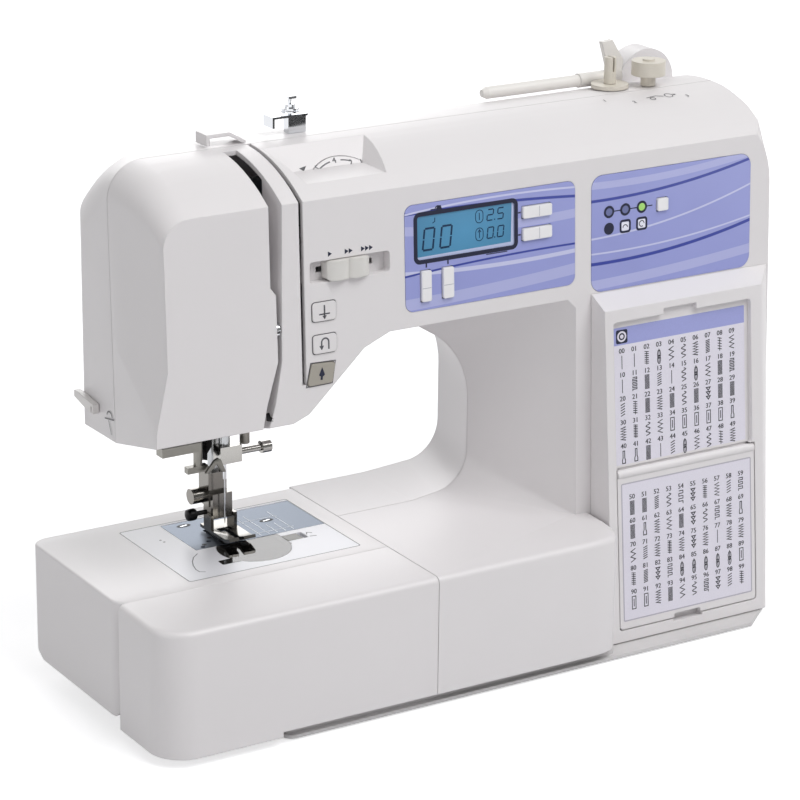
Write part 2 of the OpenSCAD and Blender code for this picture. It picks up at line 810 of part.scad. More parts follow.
/* ---- Chart box ---- */

upper_recess = [81.5, 102, 174, 184];
lid_recess = [81.4, 9.9, 175.9, 96];
recess_depth = 3;

box_edge_r = 4;

module chart_box() color([0.93, 0.92, 0.93]) {
    difference() {
        hull() {
            for (a = [0:22.5:90]) on_box(box_edge_r*(1 - cos(a)), 5)
                translate([box_x, box_z])
                    square([box_end_x - box_edge_r*(1 - sin(a)) - box_x, box_top_z - box_z]);
            on_face(-0.3, -gap) translate([box_x, box_z])
                square([side_x - 1.5 - box_x, 197 - box_z]);
        }
        on_box(-1, recess_depth) {
            boxed(upper_recess, 0, 2);
            translate([115, upper_recess[3] - 1]) square([22, 4.3]);
        }
        on_box(-1, lid_t + 0.6) {
            boxed(lid_recess, 0, 2);
            translate([lid_recess[0], lid_recess[3] - 3]) square([lid_recess[2] - lid_recess[0], 9]);
        }
        on_box(-1, 5) translate([117.7, 8.4]) square([20, 6]);
        at_hinge() {
            translate([0, 0, -(lid_recess[2] - lid_recess[0])/2])
                cylinder(h = lid_recess[2] - lid_recess[0], r = barrel_r + pass);
            translate([0, 0, -52]) cylinder(h = 104, r = lid_pin_r + run);
        }
    }
}

// Hinge axis of the chart lid, local z along +X
module at_hinge() {
    x = (lid_recess[0] + lid_recess[2])/2;
    translate([0, box_y, 0]) rotate([90 - box_tilt, 0, 0])
        translate([x, hinge_z, -lid_t/2]) rotate([0, 90, 0]) children();
}

module chart_lid() color([0.93, 0.92, 0.93]) {
    on_box(0.1, lid_t) difference() {
        rounded(lid_recess[0] + 0.6, lid_recess[1] + 0.6, lid_recess[2] - 0.6, 95.5, 2);
        translate([118.7, lid_recess[1]]) rounded(0, 0, 18, 3, 1);
    }
    on_box(0.1, lid_t) translate([lid_recess[0] + 0.6, 93])
        square([lid_recess[2] - lid_recess[0] - 1.2, hinge_z - 93]);
    at_hinge() {
        translate([0, 0, -46.5]) cylinder(h = 93, r = barrel_r);
        translate([0, 0, -48.8]) cylinder(h = 97.6, r = lid_pin_r);
    }
}

/* ---- Panels and keys ---- */

module lcd_panel() color([0.62, 0.65, 0.86]) {
    difference() {
        on_face(-0.2, panel_t - 0.1) boxed(lcd_box, 0, 5);
        on_face(-1, 2) {
            boxed(window_box, 0, 2);
            for (b = [tens_box, ones_box, length_box, width_box]) boxed(b, key_gap, 1);
        }
    }
}

module lcd_display() color([0.3, 0.5, 0.65]) {
    on_face(0.3, panel_t - 0.1) boxed(window_box, -0.1, 1.9);
    on_face(panel_t, panel_t + 3.5) boxed(window_box, 2, 2);
}

module select_panel() color([0.62, 0.65, 0.86]) {
    difference() {
        on_face(-0.2, panel_t - 0.1) boxed(select_box, 0, 7);
        on_face(-1, 2) boxed(select_key_box, key_gap, 1);
    }
}

axle_depth = 2.5;

// Rocker key with the axle stubs it rocks on behind the panel, across it if upright
module rocker(b, upright) {
    reach = (upright ? b[2] - b[0] : b[3] - b[1]) + 2.4;
    on_face(-1.6, 3) boxed(b, 0, 1);
    on_face(3, 4) boxed(b, -1, 0.5);
    translate([0, face_y, 0]) rotate([90 - face_tilt, 0, 0])
        translate([(b[0] + b[2])/2, (b[1] + b[3])/2, -axle_depth])
            rotate(upright ? [0, 90, 0] : [90, 0, 0]) cylinder(h = reach, r = 0.8, center = true);
}

module tens_key() color("white") rocker(tens_box, true);
module ones_key() color("white") rocker(ones_box, true);
module length_key() color("white") rocker(length_box, false);
module width_key() color("white") rocker(width_box, false);

module select_key() color("white") {
    on_face(-1.4, panel_t + 0.5) boxed(select_key_box, 0, 1);
    on_face(panel_t + 0.5, panel_t + 2.5) boxed(select_key_box, 0, 1);
}

// Cap of a sewing button with the flange that keeps it in its hole
module button_cap(b) {
    on_face(-0.8, wall + 1) boxed(b, 0, 1.6);
    on_face(wall + 0.3, wall + 1.3) boxed(b, 1.2, 1);
}

module needle_button() color("white") button_cap(needle_button_box);
module reverse_button() color("white") button_cap(reverse_button_box);
module start_button() color([0.66, 0.64, 0.6]) {
    on_face(-0.8, wall + 0.4) start_outline();
    on_face(wall + 0.3, wall + 1.3) intersection() {
        offset(delta = 1) start_outline();
        translate([-110, 179]) square([40, 20]);
    }
}

// Knob with a finger valley between two rounded bumps
module speed_slider() color([0.93, 0.93, 0.91]) {
    x0 = -88;
    x1 = -63;
    proud = 3.4;
    bump_r = 9;
    mid = (x0 + x1)/2;
    difference() {
        on_face(-proud, slider_depth - 0.3) rounded(x0, slider_z0 + 0.4, x1, slider_z1 - 0.4, 2);
        difference() {
            on_face(-proud - 1, -0.4) translate([x0 - 1, slider_z0]) square([x1 - x0 + 2, 12]);
            for (x = [mid - 5.8, mid + 5.8])
                translate([0, face_y, 0]) rotate([90 - face_tilt, 0, 0])
                    translate([x, slider_z0 - 1, proud - bump_r]) rotate([-90, 0, 0])
                        cylinder(h = 14, r = bump_r, $fn = 96);
        }
    }
    on_face(slider_depth - 0.4, slider_depth + 2.8) translate([mid - 3, 232.2]) square([6, 2.6]);
}

/* ---- Bed plates ---- */

cover_x0 = -162.3;
cover_x1 = -59.5;
cover_y0 = -28.8;
cover_y1 = 51.9;
cover_t = 3.2;
cover_z = bed_h - cover_t;
plate_x0 = -138.5;
plate_y0 = 8.8;
plate_t = 1.2;

module cover_plan() {
    rounded(cover_x0, cover_y0, cover_x1, cover_y1, 1.5);
}

// Outline of the clear bobbin cover, grown by g
module window_plan(g) {
    difference() {
        union() {
            translate([hook_x, -3]) circle(20 + g, $fn = 64);
            rounded(hook_x, -9 - g, latch_x - seam + g, 9 + g, 2);
            rounded(-136 - g, -16.5 - g, -120, -10.5 + g, 1);
        }
        translate([-200, plate_y0 - 0.6 + 4*max(g, 0) + min(g, 0)]) square([200, 60]);
    }
}

module needle_plate_cover() color([0.84, 0.84, 0.86]) {
    difference() {
        translate([0, 0, cover_z]) linear_extrude(cover_t) offset(delta = -gap) cover_plan();
        translate([0, 0, bed_h - plate_t - pass/2]) linear_extrude(5)
            translate([plate_x0 - gap, plate_y0 - gap]) square([200, cover_y1 - plate_y0 - 2]);
        translate([0, 0, bed_h - 1.8]) linear_extrude(5) window_plan(gap);
        translate([0, 0, bed_h - 10]) linear_extrude(20) window_plan(-1.5);
        block([needle_x - 11, plate_y0 - 2, bed_h - 14], [needle_x + 19, 40, bed_h + 6]);
        block([latch_x - gap, -4 - gap, bed_h - 1.8], [latch_x + 12 + gap, 4 + gap, bed_h + 6]);
    }
}

module needle_plate() color([0.62, 0.66, 0.7]) {
    difference() {
        translate([0, 0, bed_h - plate_t]) linear_extrude(plate_t) difference() {
            translate([plate_x0, plate_y0]) square([cover_x1 - 0.5 - plate_x0, cover_y1 - 2.6 - plate_y0]);
            // Needle slot and feed dog slots
            translate([needle_x - 4, needle_y - 0.9]) square([8, 1.8]);
            for (r = DOG_ROWS)
                translate([r[0] - pass - 0.1, r[1] - 3]) square([1.8 + 2*pass + 0.2, r[2] - r[1] + 6]);
            translate([-126.6, 17]) circle(1.3);
            translate([-133, 8.8 + 2.4]) circle(1.3);
        }
    }
}

module bobbin_cover() color([0.5, 0.5, 0.48, 0.6]) {
    translate([0, 0, bed_h - 1.6]) linear_extrude(1.6) window_plan(0);
}

latch_x = -89.5;
module cover_latch() color([0.35, 0.35, 0.34]) {
    block([latch_x, -4, bed_h - 1.4], [latch_x + 9, 4, bed_h]);
}

module bed_attachment() color([0.93, 0.92, 0.93]) {
    t = 2.4;
    x1 = free_x - gap;
    y1 = free_y - 0.3;
    step_x = tray_x0 - 4;
    difference() {
        soft_slab(5, bed_h, bed_edge_r)
            rounded(left_x, bed_y, x1 + 30, y1 + 30, attachment_r);
        block([x1, -200, 0], [200, 200, bed_h + 1]);
        block([-400, y1, 0], [200, 200, bed_h + 1]);
        translate([0, 0, 5 + t + 3]) linear_extrude(bed_h - 5 - 2*t - 3)
            difference() {
                rounded(left_x + t, bed_y + t, x1 + 20, y1 + 30, attachment_r - t);
                translate([x1 - t, -200]) square(400);
            }
        block([step_x, bed_y - 1, 0], [x1 + 1, y1 + 1, skirt_z]);
    }
}

/* ---- Drive train ---- */

module shaft_hole(r) {
    rod_x(side_x - 5, side_x + 5, needle_y, shaft_z, r/2);
}

module main_shaft() color([0.72, 0.72, 0.74]) {
    rod_x(shaft_x0, side_x + pass, needle_y, shaft_z, shaft_r);
    rod_x(shaft_x0 - 5, shaft_x0, needle_y, shaft_z, crank_throw + 5);
    rod_x(shaft_x0 - 9.4, shaft_x0 - 5, needle_y, shaft_z + crank_throw, 2.5);
    rod_x(pulley_x, pulley_x + 9, needle_y, shaft_z, pulley_r);
    rod_x(belt_x, belt_x + 8, needle_y, shaft_z, belt_r);
}

module handwheel() color([0.93, 0.92, 0.92]) {
    difference() {
        rod_x(side_x + pass, overall_l/2, needle_y, shaft_z, wheel_r);
        rod_x(overall_l/2 - 2, overall_l/2 + 1, needle_y, shaft_z, wheel_r - 6);
        for (a = [0:10:350])
            translate([0, needle_y, shaft_z]) rotate([a, 0, 0]) translate([0, wheel_r + 1, 0])
                rod_x(side_x - 1, overall_l/2 + 1, 0, 0, 2);
    }
}

module drive_belts() color([0.12, 0.12, 0.12]) {
    belt([pulley_x + 1, pulley_x + 8], [needle_y, shaft_z, pulley_r], [motor_y, motor_z, motor_pulley_r]);
    belt([belt_x + 1, belt_x + 7], [needle_y, shaft_z, belt_r], [needle_y, lower_z, belt_r]);
}

// Belt over two pulleys given as [y, z, r]
module belt(x, a, b) {
    along_x(x[0], x[1]) difference() {
        hull() {
            translate([a[0], a[1]]) circle(a[2] + pass + 1.6);
            translate([b[0], b[1]]) circle(b[2] + pass + 1.6);
        }
        hull() {
            translate([a[0], a[1]]) circle(a[2] + pass);
            translate([b[0], b[1]]) circle(b[2] + pass);
        }
    }
}

motor_y = 4;
motor_z = 44;
motor_shaft_r = 3;
motor_pulley_r = 6;
module motor() color([0.5, 0.5, 0.52]) {
    difference() {
        union() {
            rod_x(pulley_x - 44, pulley_x - 8, motor_y, motor_z, 23);
            block([pulley_x - 44, motor_y - 16, chassis_z + 6],
                  [pulley_x - 8, motor_y + 16, motor_z]);
        }
        rod_x(pulley_x - 50, pulley_x, motor_y, motor_z, motor_shaft_r + run);
    }
}

module motor_pulley() color([0.7, 0.7, 0.72]) {
    rod_x(pulley_x - 43, pulley_x + 10, motor_y, motor_z, motor_shaft_r);
    rod_x(pulley_x, pulley_x + 9, motor_y, motor_z, motor_pulley_r);
}

hook_shaft_r = 4;
pinion_r = (needle_y - hook_y - pass)/3;
gear_r = 2*pinion_r;

module lower_shaft() color([0.72, 0.72, 0.74]) {
    rod_x(-118, belt_x + 8, needle_y, lower_z, lower_r);
    rod_x(hook_x - 4, hook_x + 4, needle_y, lower_z, gear_r);
    rod_x(belt_x, belt_x + 8, needle_y, lower_z, belt_r);
}

// Underside of the hook and the floor of its cup
hook_z = bed_h - 24;
cup_z = hook_z + 3;
cup_wall = 2.2;
module rotary_hook() color([0.75, 0.75, 0.77]) {
    difference() {
        rod_z(hook_x, hook_y, hook_z, hook_z + 12, hook_r);
        rod_z(hook_x, hook_y, cup_z, hook_z + 13, hook_r - cup_wall);
        translate([hook_x, hook_y, cup_z + 4]) rotate(40) cube([40, 12, 8]);
    }
    rod_z(hook_x, hook_y, lower_z - 12, hook_z + 1, hook_shaft_r);
    rod_z(hook_x, hook_y, lower_z - 4, lower_z + 4, pinion_r);
}

case_top = hook_z + 14.5;
case_floor = 1.2;
case_pin_r = 2.6;
module bobbin_case() color([0.2, 0.2, 0.22]) {
    difference() {
        union() {
            rod_z(hook_x, hook_y, cup_z + pass, case_top, hook_r - cup_wall - pass);
            rod_z(hook_x, hook_y, hook_z + 12 + pass, case_top, hook_r - 0.8);
        }
        rod_z(hook_x, hook_y, cup_z + pass + case_floor, case_top + 5, bobbin_r + 0.8);
        // Flat that lets the needle pass
        block([needle_x - 5, needle_y - 2.2, hook_z], [needle_x + 5, needle_y + 5, case_top + 5]);
    }
    rod_z(hook_x, hook_y, cup_z + 1, hook_z + 12, case_pin_r);
}

module bobbin() color([0.85, 0.85, 0.82, 0.7]) {
    z0 = cup_z + case_floor + 2*pass;
    difference() {
        union() {
            rod_z(hook_x, hook_y, z0, z0 + 1, bobbin_r);
            rod_z(hook_x, hook_y, z0 + bobbin_h - 1, z0 + bobbin_h, bobbin_r);
            rod_z(hook_x, hook_y, z0, z0 + bobbin_h, 4.2);
        }
        rod_z(hook_x, hook_y, z0 - 1, z0 + bobbin_h + 1, case_pin_r + run);
    }
}

/* ---- Needle, take-up and presser ---- */

block_z = shaft_z - 42;
needle_tip = bed_h + 7;
needle_top = needle_tip + 37;
clamp_z = needle_top + 2.5;

module needle_bar() color([0.8, 0.8, 0.82]) {
    rod_z(needle_x, needle_y, needle_top + 8, shaft_z + 5, bar_r);
    // Driving block with the stud that the link turns on
    block([needle_x - 4.5, needle_y - 5, block_z], [needle_x + 6.2, needle_y + 5, block_z + 7]);
    rod_x(needle_x + 6.2, needle_x + 10, needle_y, block_z + 3.5, 2.5);
}

module needle_link() color([0.7, 0.7, 0.72]) {
    x0 = needle_x + 6.5;
    x1 = shaft_x0 - 9.4 - pass;
    along_x(x0, x1) difference() {
        union() {
            translate([needle_y, shaft_z + crank_throw]) circle(5);
            translate([needle_y, block_z + 3.5]) circle(5);
            translate([needle_y - 3, block_z + 3.5]) square([6, shaft_z + crank_throw - block_z - 3.5]);
        }
        translate([needle_y, shaft_z + crank_throw]) circle(2.5 + run);
        translate([needle_y, block_z + 3.5]) circle(2.5 + run);
    }
}

module needle_clamp() color([0.85, 0.85, 0.86]) {
    difference() {
        union() {
            block([needle_x - 5, needle_y - 5, clamp_z - 4], [needle_x + 8, needle_y + 3, needle_top + 8]);
            rod_x(needle_x + 8, needle_x + 23, needle_y, clamp_z, 1.9);
            rod_x(needle_x + 22, needle_x + 27.5, needle_y, clamp_z, 3.4);
        }
        rod_z(needle_x, needle_y, needle_tip, clamp_z, 1.1);
    }
}

module needle() color([0.8, 0.8, 0.82]) {
    rod_z(needle_x, needle_y, clamp_z - 14, clamp_z, 1.05);
    rod_z(needle_x, needle_y, needle_tip + 3, clamp_z - 14, 0.45);
    translate([needle_x, needle_y, needle_tip]) cylinder(h = 3, r1 = 0.12, r2 = 0.45, $fn = 24);
}

lever_len = 46;
module take_up_lever() color([0.8, 0.8, 0.82]) {
    x0 = -117.2;
    x1 = -115.3;
    difference() {
        union() {
            rod_x(-120.4, x1, pivot_y, pivot_z, 5);
            translate([0, pivot_y, pivot_z]) rotate([8, 0, 0]) along_x(x0, x1) difference() {
                union() {
                    translate([-lever_len, -2.5]) square([lever_len, 5]);
                    translate([-lever_len, 0]) circle(4);
                }
                translate([-lever_len, 0]) circle(1.6);
                translate([-lever_len - 5, -0.5]) square([5, 1]);
            }
        }
        rod_x(-130, x1 + 1, pivot_y, pivot_z, 2.5 + run);
    }
}

module presser_bar() color([0.78, 0.78, 0.8]) {
    rod_z(needle_x, presser_y, foot_z + 25, 222, bar_r);
    rod_z(needle_x, presser_y, 178, 184, 5);
}

foot_bar_y = 26;
foot_bar_z = foot_z + 8;
foot_bar_r = 1.5;
foot_x0 = needle_x - 7.5;
foot_x1 = needle_x + 8.5;
foot_wall = 1.8;
module foot_holder() color([0.75, 0.75, 0.77]) {
    difference() {
        union() {
            block([needle_x - 6, presser_y - 6, foot_z + 13],
                  [needle_x + 5, presser_y + 5, foot_z + 32]);
            block([foot_x0 + foot_wall + pass, needle_y + 3.4, foot_bar_z - 1],
                  [foot_x1 - foot_wall - pass, presser_y + 1, foot_z + 21]);
        }
        rod_z(needle_x, presser_y, foot_z + 25, 200, bar_r);
        rod_x(foot_x0, foot_x1, foot_bar_y, foot_bar_z, foot_bar_r + run);
    }
    // Clamp screw with its knob
    rod_x(needle_x - 14, needle_x - 6, presser_y, foot_z + 18.6, 4.3);
}

// Sole with its needle opening and turned-up toes, hung on a cross bar
module presser_foot() color([0.82, 0.82, 0.84]) {
    difference() {
        union() {
            block([foot_x0, 6, foot_z], [foot_x1, 34, foot_z + 1.8]);
            translate([0, 6, foot_z]) rotate([-20, 0, 0])
                block([foot_x0, -5, 0], [foot_x1, 1, 1.8]);
            for (x = [foot_x0, foot_x1 - foot_wall])
                block([x, foot_bar_y - 4, foot_z], [x + foot_wall, foot_bar_y + 4, foot_bar_z + 1.5]);
            rod_x(foot_x0, foot_x1, foot_bar_y, foot_bar_z, foot_bar_r);
        }
        block([needle_x - 4, needle_y - 2.5, foot_z - 3], [needle_x + 4, needle_y + 2.5, foot_z + 5]);
        block([needle_x - 1.5, -5, foot_z - 3], [needle_x + 1.5, needle_y, foot_z + 8]);
    }
}

lever_x = -106;
lever_w = 9;
lever_pivot_y = 54;
lever_pivot_z = 196;
lever_pin_r = 2.2;
module presser_lever() color([0.9, 0.9, 0.9]) {
    difference() {
        union() {
            rod_x(lever_x, lever_x + lever_w, lever_pivot_y, lever_pivot_z, 6);
            hull() {
                rod_x(lever_x, lever_x + lever_w, lever_pivot_y + 2, lever_pivot_z, 3);
                rod_x(lever_x, lever_x + lever_w, 82, lever_pivot_z - 13, 3);
            }
        }
        rod_x(lever_x - 1, lever_x + lever_w + 1, lever_pivot_y, lever_pivot_z, lever_pin_r + run);
    }
}

module needle_threader() color([0.72, 0.72, 0.7]) {
    y0 = needle_y - 2;
    y1 = needle_y + 2;
    z = needle_top - 4.5;
    block([threader_x - 23, y0 - 2, z + 12.5], [threader_x, y1 + 1, z + 17.5]);
    rod_z(threader_x, needle_y, z + 3.5, z + 76.5, threader_r);
    block([threader_x - 7, y0, z], [threader_x + 5, y1, z + 3.5]);
    block([threader_x + 4, needle_y - 1, z], [threader_x + 9.5, needle_y + 1, z + 1.5]);
}

/* ---- Feed ---- */

// Rows of feed teeth: left side, front end and rear end
DOG_ROWS = [[-121.4, 13, 30], [-110.4, 13, 30], [-106, 15, 28], [-116, 24.5, 30]];

module feed_dogs() color([0.65, 0.65, 0.67]) {
    z0 = bed_h - 7.2;
    x0 = needle_x - 7;
    x1 = needle_x + 12;
    top = bed_h + 0.7;
    for (r = DOG_ROWS) {
        block([r[0], r[1], z0], [r[0] + 1.8, r[2], top - 0.7]);
        for (y = [r[1]:1.4:r[2] - 1.4])
            along_x(r[0], r[0] + 1.8) polygon([[y, top - 0.8], [y + 1.4, top - 0.8], [y + 1.2, top]]);
    }
    difference() {
        block([x0, 11, z0], [x1, 42, z0 + 2.6]);
        block([needle_x - 4, needle_y - 4, z0 - 1], [needle_x + 4, needle_y + 4, z0 + 4]);
    }
    block([x0 + 4, 40, z0 - 8.8], [x1 - 3, feed_bar_y - pass, z0 + 2.6]);
}

feed_bar_y = 44;
module feed_bar() color([0.55, 0.55, 0.57]) {
    block([needle_x - 6, feed_bar_y, chassis_z + 3 + pass], [needle_x + 12, feed_bar_y + 4, bed_h - 12]);
}

drop_x = -92;
drop_z = 24;
drop_travel = 12;
module drop_feed_lever() color([0.3, 0.3, 0.3]) {
    block([drop_x - 2.5, free_rear_y - 7, drop_z - 3], [drop_x + 2.5, free_rear_y + 4, drop_z + 3]);
    block([drop_x - 6, free_rear_y - 7, drop_z - 6], [drop_x + 6, free_rear_y - 2.4 - pass, drop_z + 6]);
}

/* ---- Electrical parts ---- */

// Openings in the right side, as [y0, z0, y1, z1]
switch_box = [34, 52, 46, 72];
inlet_box = [30, 22, 50, 40];

module power_switch() color([0.15, 0.15, 0.16]) {
    c_z = (switch_box[1] + switch_box[3])/2;
    difference() {
        intersection() {
            block([side_x - 12, switch_box[0], switch_box[1]],
                  [side_x + 2, switch_box[2], switch_box[3]]);
            translate([side_x - 12, switch_box[0], c_z]) rotate([-90, 0, 0])
                cylinder(h = switch_box[2] - switch_box[0], r = 13, $fn = 64);
        }
        along_y(switch_box[0] - 1, switch_box[2] + 1)
            polygon([[side_x + 3, c_z - 9], [side_x + 3, c_z + 9], [side_x - 0.6, c_z]]);
    }
}

module power_inlet() color([0.14, 0.14, 0.15]) {
    difference() {
        block([side_x - 22, inlet_box[0], inlet_box[1]], [side_x, inlet_box[2], inlet_box[3]]);
        block([side_x - 14, inlet_box[0] + 2, inlet_box[1] + 2],
              [side_x + 1, inlet_box[2] - 2, inlet_box[3] - 2]);
    }
    for (y = [36, 44])
        rod_x(side_x - 15, side_x - 3, y, 31, 1.2);
}

module control_board() color([0.12, 0.4, 0.25]) {
    standoff = 2;
    z0 = crown_h - 84.5;
    z1 = crown_h - 30.5;
    on_face(11, 12.6) translate([-36, z0]) square([170, z1 - z0]);
    // Standoffs to the front shell
    for (x = [33, 62, 130], z = [z0 + standoff, z1 - standoff])
        on_face(wall, 11) translate([x, z]) circle(standoff);
}

/* ---- Carrying handle ---- */

handle_x0 = -60;
handle_x1 = 100;
handle_y = 78;
handle_z = crown_h - 37.5;
handle_pin_r = 3;

module handle_lugs() {
    for (x = [handle_x0 - 8, handle_x1])
        difference() {
            union() {
                rod_x(x, x + 8, handle_y, handle_z, 8);
                block([x, rear_y - 2, handle_z - 8], [x + 8, handle_y, handle_z + 8]);
            }
            rod_x(x - 1, x + 9, handle_y, handle_z, handle_pin_r + run);
        }
}

module carry_handle() color([0.9, 0.89, 0.89]) {
    w = 9;
    drop = 50;
    for (x = [handle_x0 + pass, handle_x1 - pass - w]) {
        rod_x(x, x + w, handle_y, handle_z, 7);
        block([x, handle_y - 6, handle_z - drop], [x + w, handle_y + 6, handle_z]);
    }
    rod_x(handle_x0 - 7, handle_x0 + 2, handle_y, handle_z, handle_pin_r);
    rod_x(handle_x1 - 2, handle_x1 + 7, handle_y, handle_z, handle_pin_r);
    along_x(handle_x0 + pass, handle_x1 - pass)
        rounded(handle_y - 8, handle_z - drop - 8, -bed_y, handle_z - drop + 8, 6);
}

base_tray();
rubber_feet();
front_shell();
rear_shell();
free_arm_cover();
chassis();
casing_screws();
thread_guide_plate();
thread_cutter();
winding_guide();
lcd_panel();
lcd_display();
select_panel();
chart_box();
chart_lid();
needle_plate_cover();
needle_plate();
bobbin_cover();
cover_latch();
bed_attachment();
main_shaft();
handwheel();
needle_link();
needle_bar();
needle_clamp();
needle();
take_up_lever();
presser_bar();
foot_holder();
presser_foot();
presser_lever();
needle_threader();
speed_slider();
needle_button();
reverse_button();
start_button();
tens_key();
ones_key();
length_key();
width_key();
select_key();
tension_dial();
spool_pin();
winder_shaft();
winder_seat();
winder_stopper();
motor();
motor_pulley();
drive_belts();
lower_shaft();
rotary_hook();
bobbin_case();
bobbin();
feed_bar();
feed_dogs();
drop_feed_lever();
power_switch();
power_inlet();
carry_handle();
control_board();
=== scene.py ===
import math

import bmesh
import bpy
from mathutils import Matrix, Vector


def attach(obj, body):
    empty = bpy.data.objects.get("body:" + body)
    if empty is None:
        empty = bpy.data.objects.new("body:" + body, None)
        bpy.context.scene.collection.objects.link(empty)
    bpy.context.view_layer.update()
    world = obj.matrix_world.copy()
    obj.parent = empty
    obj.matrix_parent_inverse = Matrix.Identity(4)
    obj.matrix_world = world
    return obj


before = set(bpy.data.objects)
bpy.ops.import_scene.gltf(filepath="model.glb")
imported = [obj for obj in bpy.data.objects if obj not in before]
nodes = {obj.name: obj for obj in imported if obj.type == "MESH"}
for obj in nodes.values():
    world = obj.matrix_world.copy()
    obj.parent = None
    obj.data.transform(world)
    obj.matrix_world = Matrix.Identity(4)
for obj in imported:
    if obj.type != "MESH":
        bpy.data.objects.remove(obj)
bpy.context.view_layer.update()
mm = 0.001


# ---- Studio ----------------------------------------------------------------
# A still-life table: pale seamless floor, one broad lamp high in front on the right,
# weak ones on the left and behind, an even surround with a dark side in front, and a
# black card before the table that only mirrors see, which gives chrome its dark side.

def linear(colour):
    """An sRGB hex colour as linear red, green, blue and alpha."""
    parts = [int(colour[i:i + 2], 16)/255 for i in (0, 2, 4)]
    return [p/12.92 if p <= 0.04045 else ((p + 0.055)/1.055)**2.4 for p in parts] + [1]


def add_node(tree, kind, settings={}, **inputs):
    """Adds a shader node, sets its properties, and sets or links its inputs."""
    node = tree.nodes.new("ShaderNode" + kind)
    for key, value in settings.items():
        setattr(node, key, value)
    for key, value in inputs.items():
        place = int(key[1:]) if key[0] == "i" and key[1:].isdigit() else key.replace("_", " ")
        socket = node.inputs[place]
        if isinstance(value, bpy.types.NodeSocket):
            tree.links.new(value, socket)
        else:
            socket.default_value = value
    return node


def new_material(name):
    """An empty node material and its output node."""
    made = bpy.data.materials.new(name)
    made.use_nodes = True
    made.node_tree.nodes.clear()
    return made, made.node_tree, made.node_tree.nodes.new("ShaderNodeOutputMaterial")


scene = bpy.context.scene
scene.view_settings.view_transform = "Standard"

camera_turn = math.radians(31.894)
camera_rise = math.radians(18.784)
camera_roll = math.radians(0.633)
camera_aim = Vector((-17.931, 0, 140.171))*mm
camera_distance = 1.7005
toward = Vector((-math.sin(camera_turn)*math.cos(camera_rise),
                 -math.cos(camera_turn)*math.cos(camera_rise),
                 math.sin(camera_rise)))
level = Vector((math.cos(camera_turn), -math.sin(camera_turn), 0))
upright = toward.cross(level)
across = level*math.cos(camera_roll) + upright*math.sin(camera_roll)
above = upright*math.cos(camera_roll) - level*math.sin(camera_roll)
lens = bpy.data.cameras.new("camera")
lens.lens = 141.82
lens.sensor_width = 36
lens.clip_end = 20
camera = bpy.data.objects.new("camera", lens)
turned = Matrix((across, above, toward)).transposed().to_4x4()
camera.matrix_world = Matrix.Translation(camera_aim + toward*camera_distance) @ turned
scene.collection.objects.link(camera)
scene.camera = camera

for name, place, aim, size, watts in (
        ("lamp_main", (0.6, -1.3, 2.2), (0, 0, 0.15), 1.5, 38),
        ("lamp_left", (-2.2, -0.8, 0.9), (0, 0, 0.15), 1.2, 7),
        ("lamp_back", (0.5, 2, 1), (0, 0, 0.15), 1.4, 14)):
    light = bpy.data.lights.new(name, "AREA")
    light.size = size
    light.energy = watts
    lamp = bpy.data.objects.new(name, light)
    lamp.location = place
    lamp.rotation_euler = (Vector(place) - Vector(aim)).to_track_quat("Z", "Y").to_euler()
    scene.collection.objects.link(lamp)

surround = bpy.data.worlds.new("surround")
surround.use_nodes = True
tree = surround.node_tree
tree.nodes.clear()


def backdrop_rays(tree):
    """1 for rays that see the backdrop: the camera's, mirrored and refracted ones."""
    path = add_node(tree, "LightPath")
    seen = add_node(tree, "Math", {"operation": "MAXIMUM"}, i0=path.outputs["Is Camera Ray"],
                    i1=path.outputs["Is Transmission Ray"])
    return path, add_node(tree, "Math", {"operation": "MAXIMUM"}, i0=seen.outputs[0],
                          i1=path.outputs["Is Glossy Ray"]).outputs[0]


path, seen = backdrop_rays(tree)
place = add_node(tree, "TexCoord")
axes = add_node(tree, "SeparateXYZ", {}, Vector=place.outputs["Generated"])
front = add_node(tree, "MapRange", {"interpolation_type": "SMOOTHSTEP"}, Value=axes.outputs["Y"],
                 From_Min=-0.8, From_Max=-0.35, To_Min=0.25, To_Max=1.0)
mirrored = add_node(tree, "Mix", {}, Factor=path.outputs["Is Glossy Ray"], i2=1.0,
                    i3=front.outputs[0])
strength = add_node(tree, "Mix", {}, Factor=seen, i2=0.36, i3=mirrored.outputs[0])
sky = add_node(tree, "Background", {}, Color=(1, 1, 1, 1), Strength=strength.outputs[0])
out = tree.nodes.new("ShaderNodeOutputWorld")
tree.links.new(sky.outputs[0], out.inputs[0])
scene.world = surround

bpy.ops.mesh.primitive_plane_add(size=8, location=(0, 0, -0.0002))
floor = bpy.context.active_object
floor.name = "floor"
floor_paint, tree, out = new_material("matt_white_paper")
paper = add_node(tree, "BsdfDiffuse", {}, Color=linear("d8d8da"))
glow = add_node(tree, "Emission", {}, Color=(1, 1, 1, 1), Strength=0.62)
both = add_node(tree, "AddShader", {}, i0=paper.outputs[0], i1=glow.outputs[0])
mix = add_node(tree, "MixShader", {}, i0=backdrop_rays(tree)[1], i1=paper.outputs[0],
               i2=both.outputs[0])
tree.links.new(mix.outputs[0], out.inputs[0])
floor.data.materials.append(floor_paint)

